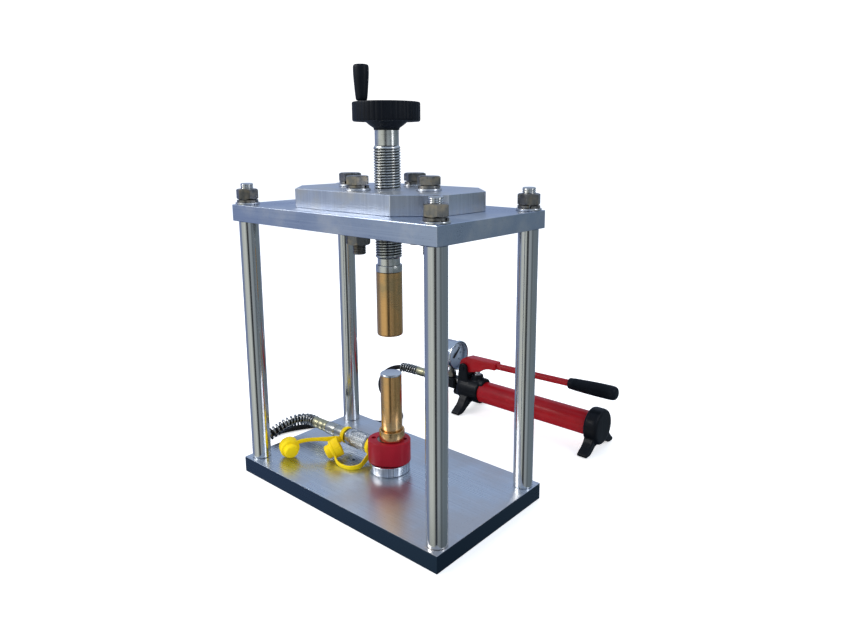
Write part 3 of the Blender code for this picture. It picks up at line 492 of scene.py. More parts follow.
def catmull(route, spacing):
    """Evenly spaced points on a centripetal Catmull-Rom curve through the route."""
    knots = [Vector(p) for p in route]
    knots = [2 * knots[0] - knots[1]] + knots + [2 * knots[-1] - knots[-2]]
    fine = []
    for p0, p1, p2, p3 in zip(knots, knots[1:], knots[2:], knots[3:]):
        t1 = (p1 - p0).length ** 0.5
        t2 = t1 + (p2 - p1).length ** 0.5
        t3 = t2 + (p3 - p2).length ** 0.5
        for step in range(16):
            t = t1 + (t2 - t1) * step / 16
            a1 = p0.lerp(p1, t / t1)
            a2 = p1.lerp(p2, (t - t1) / (t2 - t1))
            a3 = p2.lerp(p3, (t - t2) / (t3 - t2))
            b1 = a1.lerp(a2, t / t2)
            b2 = a2.lerp(a3, (t - t1) / (t3 - t1))
            fine.append(b1.lerp(b2, (t - t1) / (t2 - t1)))
    fine.append(knots[-2])
    total = sum((b - a).length for a, b in zip(fine, fine[1:]))
    count = round(total / spacing)
    result = [fine[0]]
    walked = 0.0
    for a, b in zip(fine, fine[1:]):
        piece = (b - a).length
        while len(result) < count and walked + piece >= total * len(result) / count:
            result.append(a.lerp(b, (total * len(result) / count - walked) / piece))
        walked += piece
    result.append(fine[-1])
    return result


def rod_curve(name, points, radius, resolution):
    """A round rod with closed ends along the points, as a curve object."""
    curve = bpy.data.curves.new(name, "CURVE")
    curve.dimensions = "3D"
    curve.bevel_depth = radius
    curve.bevel_resolution = resolution
    curve.use_fill_caps = True
    spline = curve.splines.new("POLY")
    spline.points.add(len(points) - 1)
    for point, co in zip(spline.points, points):
        point.co = (*co, 1.0)
    return add_object(name, curve)


def wire(name, points, radius, look, resolution):
    """The same rod as a mesh."""
    holder = rod_curve(name, points, radius, resolution)
    mesh = evaluated_mesh(holder)
    bpy.data.objects.remove(holder, do_unlink=True)
    bm = bmesh.new()
    bm.from_mesh(mesh)
    bpy.data.meshes.remove(mesh)
    return new_piece(name, bm, look, 45.0)


def coil_round(path, radius, turns_per_metre):
    """Points of a helix round a path, for a guard spring."""
    dense = catmull(path, 0.0009)
    up = Vector((0, 0, 1))
    points = []
    walked = 0.0
    for i, point in enumerate(dense):
        ahead = dense[min(i + 1, len(dense) - 1)] - dense[max(i - 1, 0)]
        ahead.normalize()
        side = ahead.cross(up).normalized()
        top = side.cross(ahead)
        if i:
            walked += (point - dense[i - 1]).length
        angle = TAU * turns_per_metre * walked
        points.append(point + (side * math.cos(angle) + top * math.sin(angle)) * radius)
    return points


def box_into(bm, size, place, turn=None):
    matrix = Matrix.Translation(place) @ (turn or Matrix.Identity(4)) @ Matrix.Diagonal((*size,
                                                                                         1.0))
    bmesh.ops.create_cube(bm, size=1.0, matrix=matrix)


def prism_into(bm, outline, axis_map, depth):
    """Adds an extruded outline; axis_map(a, b, d) gives a point, d from -depth/2 to depth/2."""
    low = [bm.verts.new(axis_map(a, b, -depth / 2)) for a, b in outline]
    high = [bm.verts.new(axis_map(a, b, depth / 2)) for a, b in outline]
    bm.faces.new(low[::-1])
    bm.faces.new(high)
    count = len(outline)
    for i in range(count):
        j = (i + 1) % count
        bm.faces.new((low[i], low[j], high[j], high[i]))


def evaluated_mesh(obj):
    bpy.context.view_layer.update()
    return bpy.data.meshes.new_from_object(obj.evaluated_get(bpy.context.evaluated_depsgraph_get()))


def apply_modifiers(obj):
    mesh = evaluated_mesh(obj)
    obj.modifiers.clear()
    old = obj.data
    obj.data = mesh
    bpy.data.meshes.remove(old)


def round_edges(obj, width, segments, degrees):
    bevel = obj.modifiers.new("edges", "BEVEL")
    bevel.width = width
    bevel.segments = segments
    bevel.limit_method = "ANGLE"
    bevel.angle_limit = math.radians(degrees)
    apply_modifiers(obj)


def cut(obj, bm):
    """Cuts the bmesh's shape out of a piece."""
    tool = new_piece("tool", bm, None)
    hole = obj.modifiers.new("hole", "BOOLEAN")
    hole.operation = "DIFFERENCE"
    hole.solver = "EXACT"
    hole.object = tool
    apply_modifiers(obj)
    bpy.data.objects.remove(tool, do_unlink=True)


def drill(obj, place, radius, length, axis):
    """Cuts a round hole along an axis."""
    bm = bmesh.new()
    about = {"X": "Y", "Y": "X"}
    turn = Matrix.Rotation(math.radians(90.0), 4,
                           about[axis]) if axis in about else Matrix.Identity(4)
    matrix = Matrix.Translation(place) @ turn
    bmesh.ops.create_cone(bm, cap_ends=True, segments=64, radius1=radius, radius2=radius,
                          depth=length,
                          matrix=matrix)
    cut(obj, bm)


def melt(name, pieces, look, voxel):
    """Fuses closed pieces into one soft-edged casting."""
    bm = bmesh.new()
    for piece in pieces:
        bm.from_mesh(piece.data)
        mesh = piece.data
        bpy.data.objects.remove(piece, do_unlink=True)
        bpy.data.meshes.remove(mesh)
    obj = new_piece(name, bm, look, 180.0)
    remesh = obj.modifiers.new("fuse", "REMESH")
    remesh.mode = "VOXEL"
    remesh.voxel_size = voxel
    relax = obj.modifiers.new("relax", "SMOOTH")
    relax.factor = 0.5
    relax.iterations = 3
    apply_modifiers(obj)
    obj.data.materials.clear()
    obj.data.materials.append(LOOKS[look])
    obj.data.shade_smooth()
    return obj


# ---------------------------------------------------------------- the press
def dress(node, look):
    """Gives a CAD node that stays in sight a worked material."""
    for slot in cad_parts[node].material_slots:
        slot.material = LOOKS[look]


def columns():
    for seed, (corner, at) in zip(COLUMN_SEEDS, CORNERS.items()):
        profile = [
            (0.0, 0.485), (0.0083, 0.485), (M20, 0.4836), (M20, 0.455), (M20, PLATE_LOW),
            (0.0142, PLATE_LOW), (0.015, 0.4249), (0.015, 0.0271), (0.0142, BASE_TOP),
            (M20, BASE_TOP), (M20, 0.0073), (0.0, 0.0073),
        ]
        rows, shape = threaded(profile, 0.455, 0.4836, M20_PITCH, M20_DEPTH)
        column = lathe("post_" + corner, rows, "column", at, segments=72, edge=0.0, shape=shape)
        fit(column, "frame", "polished_steel", "column_" + corner)
        flat = flat_washer("flat_washer_" + corner, at, PLATE_TOP)
        fit(flat, "frame", "zinc_steel", "column_washers_" + corner)
        split = spring_washer("split_washer_" + corner, at, PLATE_TOP + 0.0031, seed * 0.9)
        fit(split, "frame", "zinc_steel")
        nut = hexagon("hex_nut_" + corner, at, PLATE_TOP + 0.0078, PLATE_TOP + 0.0238, "zinc",
                      turn=0.26 + seed * 0.11)
        fit(nut, "frame", "zinc_steel", "column_nut_" + corner)


def flat_washer(name, at, low):
    return lathe(name, tube(0.0104, 0.0185, low + 0.003, low), "washer", at, segments=64,
                 closed=True, edge=0.0007)


def block_bolts():
    nut_high = PLATE_LOW - 0.0076
    for number, (side, at) in enumerate(BOLTS.items()):
        fit(flat_washer("block_flat_washer_" + side, at, BLOCK_TOP), "frame", "zinc_steel",
            "block_washers_" + side)
        fit(spring_washer("block_split_washer_" + side, at, BLOCK_TOP + 0.0031, number * 1.7),
            "frame", "zinc_steel")
        head = hexagon("bolt_head_" + side, at, 0.4886, 0.5011, "zinc", bore=0.0,
                       turn=0.2 + number * 0.23, washer_face=True)
        fit(head, "frame", "zinc_steel", "block_bolt_" + side)
        profile = [
            (0.0, 0.489), (M20, 0.489), (M20, 0.42), (M20, 0.3894), (0.0083, 0.388), (0.0, 0.388),
        ]
        rows, shape = threaded(profile, 0.3894, 0.42, M20_PITCH, M20_DEPTH)
        shank = lathe("bolt_shank_" + side, rows, "zinc", at, segments=64, edge=0.0, shape=shape)
        fit(shank, "frame", "zinc_steel")
        nut = hexagon("lower_nut_" + side, at, nut_high - 0.016, nut_high, "zinc",
                      turn=0.1 + number * 0.31)
        fit(nut, "frame", "zinc_steel", "block_nut_" + side)
        split = spring_washer("lower_split_washer_" + side, at, nut_high + 0.0001, number * 1.3)
        fit(split, "frame", "zinc_steel")
        fit(flat_washer("lower_flat_washer_" + side, at, nut_high + 0.0045), "frame", "zinc_steel")


def press_screw():
    profile = [
        (0.0, 0.599), (0.0125, 0.599), (0.0135, 0.598), (0.0135, 0.565), (0.0179, 0.565),
        (0.0179, 0.543), (0.019, 0.542), (THREAD_CREST, THREAD_HIGH), (THREAD_CREST, THREAD_LOW),
        (0.0173, 0.3745), (0.0173, 0.3645), (0.0117, 0.3645), (0.0117, 0.3457), (0.015, 0.3457),
        (0.015, 0.3385), (0.006, 0.3385), (0.004, 0.3355), (0.0, 0.3345),
    ]
    rows, shape = threaded(profile, THREAD_LOW, THREAD_HIGH, THREAD_PITCH, 0.002, 10)
    screw = lathe("thread_screw", rows, "screw", segments=96, edge=0.0, shape=shape)
    fit(screw, "screw", "screw_steel", "press_screw")


def handwheel():
    profile = [
        (0.0138, 0.602), (0.02, 0.602), (0.022, 0.6), (0.03, 0.5993), (0.042, 0.6),
        (0.0435, 0.6044), (0.0455, 0.6056), (0.0485, 0.6056), (0.0497, 0.6048), (0.05, 0.6035),
        (0.05, 0.5805), (0.0495, 0.5785), (0.048, 0.5775), (0.045, 0.5775), (0.0432, 0.5785),
        (0.042, 0.59), (0.035, 0.59), (0.0325, 0.5785), (0.031, 0.5773), (0.025, 0.5722),
        (0.0195, 0.5685), (0.019, 0.5672), (0.019, 0.5658), (0.0183, 0.5653), (0.0138, 0.5653),
    ]

    def flutes(radius, height, angle):
        return radius - (0.0005 * max(0.0, math.cos(40 * angle)) if radius > 0.0496 else 0.0)

    wheel = lathe("wheel_rim", profile, "black", closed=True, segments=320, edge=0.0008,
                  shape=flutes)
    fit(wheel, "screw", "black_plastic", "handwheel")
    low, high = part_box("grip_spindle")
    at = ((low[0] + high[0]) / 2, (low[1] + high[1]) / 2)
    boss = [(0.0, 0.6068), (0.0072, 0.6068), (0.008, 0.6062), (0.008, 0.598), (0.0, 0.598)]
    fit(lathe("grip_boss", boss, "bright", at, segments=48), "screw", "zinc_steel")
    grip = [
        (0.0, 0.658), (0.008, 0.6578), (0.01, 0.6572), (0.011, 0.6558), (0.0114, 0.653),
        (0.0114, 0.645), (0.011, 0.638), (0.0103, 0.629), (0.0095, 0.619), (0.0087, 0.612),
        (0.0083, 0.6092), (0.0076, 0.6075), (0.005, 0.6073), (0.0043, 0.6073), (0.0043, 0.65),
        (0.0, 0.65),
    ]
    fit(lathe("turning_grip", grip, "black", at, segments=64, edge=0.0004), "wheel_grip",
        "black_plastic", "wheel_grip")
    pin = tube(0.0, 0.004, 0.648, 0.589)
    fit(lathe("grip_pin", pin, "zinc", at, segments=32), "screw", "zinc_steel", "grip_spindle")


def anvil():
    profile = [
        (0.0, 0.334), (0.0154, 0.334), (0.0154, 0.3537), (0.0196, 0.3537), (0.0201, 0.3532),
        (0.0201, 0.257), (0.0199, 0.2556), (0.0193, 0.2543), (0.0183, 0.2536), (0.017, 0.2535),
        (0.0, 0.2535),
    ]
    fit(lathe("anvil_post", profile, "brass", edge=0.0), "anvil", "brass", "upper_anvil")
    collar = tube(0.012, 0.0203, 0.3642, 0.354)
    fit(lathe("swivel_collar", collar, "screw", closed=True, edge=0.0007), "anvil", "screw_steel",
        "upper_collar")


def stadium(length, width, steps=40):
    radius = width / 2.0
    half = length / 2.0 - radius
    points = []
    for side in (1.0, -1.0):
        for i in range(steps + 1):
            angle = math.radians(-90.0 + 180.0 * i / steps)
            points.append((side * (half + radius * math.cos(angle)),
                           side * radius * math.sin(angle)))
    return points


def ram():
    seat = [(0.0, 0.0415), (0.032, 0.0415), (0.0328, 0.0407), (0.0328, 0.0271), (0.032, BASE_TOP),
            (0.0, BASE_TOP)]
    fit(lathe("seat_disc", seat, "seat", RAM, edge=0.0003), "frame", "polished_steel", "ram_seat")
    bm = bmesh.new()
    low, high = 0.0418, 0.0788
    cos, sin = math.cos(RAM_ANGLE), math.sin(RAM_ANGLE)
    prism_into(bm, stadium(0.069, 0.054), lambda a, b, d: (
        RAM[0] + a * cos - b * sin, RAM[1] + a * sin + b * cos, (low + high) / 2 + d), high - low)
    body = new_piece("ram_housing", bm, "ram", 60.0)
    round_edges(body, 0.0016, 4, 60.0)
    holes = [
        ((RAM[0], RAM[1], high), 0.0195, 2 * (high - 0.047), "Z"),
        ((RAM[0] - 0.0252 * cos, RAM[1] - 0.0252 * sin, high), 0.0038, 0.02, "Z"),
        ((RAM[0] + 0.0252 * cos, RAM[1] + 0.0252 * sin, high), 0.0038, 0.02, "Z"),
        ((-0.0298, *HOSE_LINE), 0.0083, 0.02, "X"),
    ]
    for hole in holes:
        drill(body, *hole)
    shade(body.data, 38.0)
    fit(body, "frame", "red_paint", "ram_body")
    rod = [
        (0.0, 0.0793), (0.0134, 0.0793), (0.014, 0.0787), (0.014, 0.056), (0.0192, 0.056),
        (0.0192, 0.0473), (0.0, 0.0473),
    ]
    fit(lathe("piston_rod", rod, "bright", RAM), "ram", "polished_steel", "ram_piston")
    gland = tube(0.0143, 0.0192, 0.0783, 0.071)
    fit(lathe("gland_ring", gland, "zinc", RAM, closed=True), "frame", "zinc_steel", "ram_gland")
    collar = tube(0.0171, 0.0206, 0.0963, 0.0796)
    fit(lathe("post_collar", collar, "brass", closed=True, edge=0.0018), "ram", "brass",
        "lower_collar")
    sleeve = tube(0.011, 0.0168, 0.187, 0.0796)
    fit(lathe("post_sleeve", sleeve, "brass", closed=True, edge=0.0003), "ram", "brass",
        "lower_post")
    core = [
        (0.0, 0.1904), (0.0158, 0.1904), (0.0168, 0.1895), (0.0168, 0.1873), (0.0107, 0.1873),
        (0.0107, 0.0796), (0.0, 0.0796),
    ]
    fit(lathe("pressing_face", core, "bright", edge=0.0002), "ram", "screw_steel", "lower_core")


# ---------------------------------------------------------------- coupler, caps and hose
def coupler():
    nipple = [
        (0.0, -0.0205), (0.008, -0.0205), (0.008, -0.0308), (0.0125, -0.0308), (0.0125, -0.0365),
        (0.0114, -0.037), (0.0114, -0.0385), (0.0125, -0.039), (0.0125, -0.045), (0.008, -0.045),
        (0.008, -0.074), (0.0, -0.074),
    ]
    fit(lathe("ram_nipple", nipple, "fitting", HOSE_LINE, "X", 64), "frame", "zinc_steel",
        "coupler_nipple")
    rows = [(0.0083, -0.0455), (0.0138, -0.0455), (0.015, -0.0472)]
    rows += [(0.015, -0.0482 - 0.0006 * i) for i in range(54)]
    rows += [(0.0142, -0.0806), (0.0142, -0.0825), (0.015, -0.0832), (0.015, -0.0912),
             (0.014, -0.093),
             (0.0083, -0.093)]

    def knurl(radius, height, angle):
        if radius < 0.0149 or not -0.0802 < height < -0.048:
            return radius
        first = abs((angle / TAU * 26 + height / 0.0036) % 1.0 - 0.5) * 2
        second = abs((angle / TAU * 26 - height / 0.0036) % 1.0 - 0.5) * 2
        return radius - 0.001 * max(first, second) ** 3

    sleeve = lathe("union_sleeve", rows, "fitting", HOSE_LINE, "X", 182, True, 0.0, knurl)
    fit(sleeve, "sleeve", "zinc_steel", "coupler_sleeve")
    adaptor = [
        (0.0, -0.076), (0.008, -0.076), (0.008, -0.0935), (0.0105, -0.0935), (0.0105, -0.1255),
        (0.0096, -0.1262), (0.0096, -0.1275), (0.0108, -0.1282), (0.0108, -0.1495), (0.0102, -0.15),
        (0.0, -0.15),
    ]
    fit(lathe("hose_end", adaptor, "adaptor", HOSE_LINE, "X", 64), "frame", "zinc_steel",
        "hose_adaptor")
    ferrule = [(0.0, -0.1503), (0.0085, -0.1503)]
    ferrule += zip(CRIMPS, (-0.153, -0.159, -0.16, -0.164, -0.165, -0.171, -0.172, -0.176,
                            -0.177, -0.1865, -0.188, -0.188))
    fit(lathe("crimped_end_ram", ferrule, "olive", HOSE_LINE, "X", 64), "frame", "olive_brass",
        "ram_ferrule")


def ribbon(name, route, width, thick, look):
    """A flat moulded strap standing on edge; width is a list of widths along the route."""
    path = catmull(route, 0.0025)
    bm = bmesh.new()
    rings = []
    count = len(path) - 1
    for i, point in enumerate(path):
        ahead = (path[min(i + 1, count)] - path[max(i - 1, 0)]).normalized()
        side = ahead.cross(Vector((0, 0, 1))).normalized()
        up = side.cross(ahead)
        place = i / count * (len(width) - 1)
        first = min(int(place), len(width) - 2)
        half = (width[first] + (width[first + 1] - width[first]) * (place - first)) / 2
        ring = []
        for k in range(16):
            angle = TAU * k / 16
            a, b = math.cos(angle), math.sin(angle)
            a = math.copysign(abs(a) ** 0.5, a) * thick / 2
            b = math.copysign(abs(b) ** 0.5, b) * half
            ring.append(bm.verts.new(point + side * a + up * b))
        rings.append(ring)
    for first, second in zip(rings, rings[1:]):
        for k in range(16):
            bm.faces.new((first[k], first[(k + 1) % 16], second[(k + 1) % 16], second[k]))
    bm.faces.new(rings[0][::-1])
    bm.faces.new(rings[-1])
    return new_piece(name, bm, look, 60.0)


def dust_cap(name, node, centre, opening, strap, ring_x, ring_radius):
    """A ribbed cup with a boss behind, its flat strap and the strap's ring round the coupler."""
    cup = [
        (0.0, 0.0), (0.0125, 0.0), (0.0125, 0.0122), (0.0132, 0.013), (0.0152, 0.013),
        (0.016, 0.0122), (0.016, 0.0035), (0.0153, 0.0028), (0.0153, 0.0012), (0.016, 0.0005),
        (0.016, -0.0015), (0.015, -0.0032), (0.0118, -0.004), (0.0114, -0.005), (0.0116, -0.0085),
        (0.0113, -0.0112), (0.01, -0.013), (0.0075, -0.0138), (0.0, -0.014),
    ]
    turn = Vector(opening).to_track_quat("Z", "Y").to_matrix().to_4x4()
    rows = soften(cup, 0.0005)

    def where(row, angle):
        radius, height = row
        if 0.0156 < radius and height > 0.0034:
            radius += 0.0003 * (math.cos(angle * 28) - 1)
        return (radius * math.cos(angle), radius * math.sin(angle), height)

    bm = bmesh.new()
    spin_rows(bm, rows, 140, False, where)
    bmesh.ops.transform(bm, matrix=Matrix.Translation(centre) @ turn, verts=bm.verts)
    fit(new_piece(name, bm, "yellow"), "frame", "yellow_plastic", node)
    widths = (0.0115, 0.01, 0.0078, 0.0066, 0.0064, 0.0068, 0.0074)
    fit(ribbon(name + "_strap", strap, widths, 0.0026, "yellow"), "frame", "yellow_plastic")
    sides = 12
    profile = [
        (ring_radius + 0.0016 * math.cos(TAU * i / sides),
         ring_x + 0.0042 * math.sin(TAU * i / sides))
        for i in range(sides)
    ]
    fit(lathe(name + "_ring", profile, "yellow", HOSE_LINE, "X", 64, True, 0.0), "frame",
        "yellow_plastic")


def dust_caps():
    dust_cap(
        "cap_hose", "dust_cap_hose", (-0.152, -0.076, 0.0425), (-0.92, 0.38, 0.12), [
            (-0.103, -0.0047, 0.048), (-0.108, -0.012, 0.05), (-0.118, -0.024, 0.051),
            (-0.131, -0.037, 0.0515), (-0.142, -0.049, 0.051), (-0.15, -0.059, 0.049),
            (-0.153, -0.066, 0.0465),
        ], -0.103, 0.0125)
    dust_cap(
        "cap_ram", "dust_cap_ram", (-0.093, -0.032, 0.0435), (0.5, 0.76, 0.4), [
            (-0.039, 0.0, 0.0395), (-0.036, -0.014, 0.034), (-0.034, -0.027, 0.0305),
            (-0.041, -0.038, 0.0294), (-0.054, -0.043, 0.029), (-0.07, -0.043, 0.0305),
            (-0.082, -0.038, 0.0345), (-0.087, -0.034, 0.036),
        ], -0.039, 0.0148)


def hose():
    points = catmull(HOSE_ROUTE, 0.004)
    obj = rod_curve("oil_hose", points, HOSE_RADIUS, 5)
    obj.data.materials.append(LOOKS["rubber"])
    fit(obj, "frame", "hose_rubber", "hose")
    for label, path in (("ram", HOSE_ROUTE[:8]), ("pump", HOSE_ROUTE[:-5:-1])):
        helix = coil_round(path, 0.0088, 146.0)
        guard = wire("guard_spring_" + label, helix, 0.0019, "wire", 2)
        fit(guard, "frame", "zinc_steel")


# ---------------------------------------------------------------- the hand pump
def leg(x, side):
    """One splayed foot, broad along the pump, curving out to a flat toe."""
    sweep = 0.002
    outline = [
        (0.006, 0.036), (0.006, 0.02), (0.013, 0.0165), (0.021, 0.011), (0.028, 0.0055),
        (0.034, 0.0018), (0.04, 0.0004), (0.049, 0.0004), (0.0515, 0.0022), (0.0505, 0.0058),
        (0.0455, 0.01), (0.039, 0.0155), (0.0335, 0.0215), (0.029, 0.029), (0.024, 0.036),
    ]
    if side < 0:
        outline = outline[::-1]
    bm = bmesh.new()
    prism_into(bm, outline, lambda a, b, d: (
        x + d - sweep * max(0.0, 0.02 - b) / 0.02, PUMP_LINE[0] + side * a, b), 0.019)
    return new_piece("t", bm, None)


def pump_head():
    y, z = PUMP_LINE
    body = [
        (0.0, -0.0583), (0.0245, -0.0583), (0.0255, -0.06), (0.0255, -0.102), (0.025, -0.106),
        (0.0232, -0.11), (0.02, -0.112), (0.0, -0.112),
    ]
    parts = [lathe("t", body, None, PUMP_LINE, "X", 96, edge=0.0)]
    guide = [(0.0, 0.078), (0.0115, 0.078), (0.0125, 0.06), (0.0, 0.06)]
    parts.append(lathe("t", guide, None, (-0.072, y), "Z", 64, edge=0.0))
    for side in (-1.0, 1.0):
        bm = bmesh.new()
        outline = [(-0.112, 0.058), (-0.084, 0.058), (-0.0885, 0.09)]
        outline += [(-0.098 + 0.01 * math.cos(math.radians(a)),
                     0.09 + 0.01 * math.sin(math.radians(a)))
                    for a in range(0, 181, 15)]
        outline += [(-0.1105, 0.075)]
        prism_into(bm, outline, lambda a, b, d, s=side: (a, y + s * 0.015 - d, b), 0.006)
        parts.append(new_piece("t", bm, None))
        parts.append(leg(-0.09, side))
    rounded = [(0.0, -0.05), (0.014, -0.05), (0.015, -0.052), (0.015, -0.062), (0.0, -0.064)]
    parts.append(lathe("t", rounded, None, (y, z + 0.014), "X", 48, edge=0.0))
    head = melt("head_casting", parts, "black_paint", 0.0011)
    drill(head, (-0.072, y, 0.078), 0.0073, 0.062, "Z")
    drill(head, (-0.098, y, 0.09), 0.0043, 0.06, "Y")
    shade(head.data, 50.0)
    fit(head, "frame", "black_paint", "pump_head")
    pin = [(0.0, y + 0.0195), (0.0034, y + 0.0195), (0.004, y + 0.019), (0.004, y - 0.019),
           (0.0034, y - 0.0195),
           (0.0, y - 0.0195)]
    bm = bmesh.new()
    spin_rows(bm, pin, 32, False, lambda row,
              a: (-0.098 + row[0] * math.cos(a), row[1], 0.09 + row[0] * math.sin(a)))
    fit(new_piece("pivot_pin", bm, "black_paint"), "frame", "zinc_steel", "lever_pin")
    plunger = [(0.0, 0.0805), (0.0064, 0.0805), (0.007, 0.0799), (0.007, 0.0497), (0.0, 0.0497)]
    rod = lathe("plunger_rod", plunger, "bright", (-0.072, y), segments=48)
    fit(rod, "plunger", "polished_steel", "pump_plunger")
    bm = bmesh.new()
    box_into(bm, (0.008, 0.0078, 0.024), (-0.072, y, 0.0915))
    bmesh.ops.bevel(bm, geom=bm.edges[:], offset=0.0012, segments=3, affect="EDGES")
    fit(new_piece("plunger_tang", bm, "bright"), "plunger", "polished_steel")


def pump_body():
    y, z = PUMP_LINE
    tank = tube(0.0195, 0.022, 0.1877, -0.0577)
    fit(lathe("tank_tube", tank, "pump_red", PUMP_LINE, "X", 96, True), "frame", "red_paint",
        "pump_barrel")
    cap = [
        (0.0, 0.214), (0.026, 0.214), (0.0298, 0.2132), (0.032, 0.2112), (0.0329, 0.208),
        (0.033, 0.205), (0.033, 0.194), (0.0322, 0.19), (0.0305, 0.1883), (0.027, 0.188),
        (0.0192, 0.188), (0.0192, 0.178), (0.0, 0.178),
    ]
    parts = [lathe("t", cap, None, PUMP_LINE, "X", 96, edge=0.0)]
    parts.extend(leg(0.2, side) for side in (-1.0, 1.0))
    casting = melt("end_casting", parts, "black_paint", 0.0012)
    fit(casting, "frame", "black_paint", "pump_end_cap")


def lever():
    y = PUMP_LINE[0]
    outline = [
        (-0.111, 0.0915), (-0.1105, 0.099), (-0.108, 0.104), (-0.103, 0.108), (-0.092, 0.1125),
        (-0.06, 0.1132), (-0.024, 0.1135), (-0.022, 0.1125), (-0.022, 0.0995), (-0.036, 0.099),
        (-0.048, 0.0962), (-0.058, 0.0892), (-0.072, 0.0855), (-0.086, 0.0818), (-0.098, 0.08),
        (-0.105, 0.0815), (-0.109, 0.0855),
    ]
    bm = bmesh.new()
    prism_into(bm, outline, lambda a, b, d: (a, y - d, b), 0.022)
    beam = new_piece("lever_bracket", bm, "pump_red", 60.0)
    round_edges(beam, 0.0016, 3, 50.0)
    bm = bmesh.new()
    box_into(bm, (0.036, 0.0104, 0.0282), (-0.07, y, 0.0934))
    cut(beam, bm)
    drill(beam, (-0.098, y, 0.09), 0.0043, 0.06, "Y")
    shade(beam.data, 35.0)
    fit(beam, "lever", "red_paint", "pump_lever")

    slope = 0.028

    def along(profile, name, look, segments=64):
        """Turns (radius, x) rows about the lever bar's sloping axis."""

        def where(row, angle):
            radius, x = row
            rise = radius * math.sin(angle)
            return (x - slope * rise, y + radius * math.cos(angle), 0.1064 + slope * x + rise)

        bm = bmesh.new()
        spin_rows(bm, profile, segments, False, where)
        return new_piece(name, bm, look)

    fit(along(tube(0.0, 0.0063, 0.225, -0.03), "lever_rod", "pump_red", 48), "lever", "red_paint")
    grip = [
        (0.0, 0.2362), (0.005, 0.236), (0.0085, 0.2355), (0.0108, 0.234), (0.0121, 0.2315),
        (0.0128, 0.228),
    ]
    ribs = 34
    for i in range(ribs * 4 + 1):
        x = 0.226 - 0.076 * i / (ribs * 4)
        part = (x - 0.15) / 0.076
        body = 0.011 + 0.002 * math.sin(min(1.0, part * 1.15) * math.pi / 2)
        grip.append((body - 0.00035 * (1 + math.cos(TAU * i / 4)), x))
    grip += [(0.0105, 0.148), (0.0104, 0.144), (0.0098, 0.1418), (0.0085, 0.141), (0.0066, 0.141),
             (0.0066, 0.228), (0.0, 0.228)]
    fit(along(grip, "lever_handle", "black"), "lever", "black_plastic", "lever_grip")


def pump_port():
    y, z = PORT_LINE
    bm = bmesh.new()
    box_into(bm, (0.03, 0.026, 0.0215), (-0.1395, y, z))
    bmesh.ops.bevel(bm, geom=bm.edges[:], offset=0.002, segments=3, affect="EDGES")
    fit(new_piece("port_block", bm, "black_paint"), "frame", "black_paint", "pump_port")
    neck = tube(0.0, 0.008, -0.109, -0.126)
    fit(lathe("port_neck", neck, "zinc", (y, z + 0.004), "X", 48), "frame", "black_paint")
    ferrule = [(0.0, -0.1548), (0.0105, -0.1548), (0.0105, -0.172), (0.0085, -0.173),
               (0.0085, -0.19)]
    ferrule += zip(CRIMPS, (-0.191, -0.2, -0.201, -0.206, -0.207, -0.216, -0.217, -0.222,
                            -0.223, -0.2385, -0.24, -0.24))
    fit(lathe("crimped_end_pump", ferrule, "olive", PORT_LINE, "X", 64), "frame", "olive_brass",
        "pump_ferrule")
    rows = [(0.0, -0.104), (0.004, -0.104), (0.004, -0.1155), (0.007, -0.116), (0.0076, -0.118),
            (0.0076, -0.13), (0.0062, -0.132), (0.0, -0.1325)]

    def flutes(radius, height, angle):
        return radius - (0.0004 * (1 + math.cos(18 * angle)) if radius > 0.0075 else 0.0)

    knob = lathe("release_knob", rows, "black", (y, 0.0285), "X", 108, edge=0.0003, shape=flutes)
    fit(knob, "valve", "black_plastic", "release_valve")


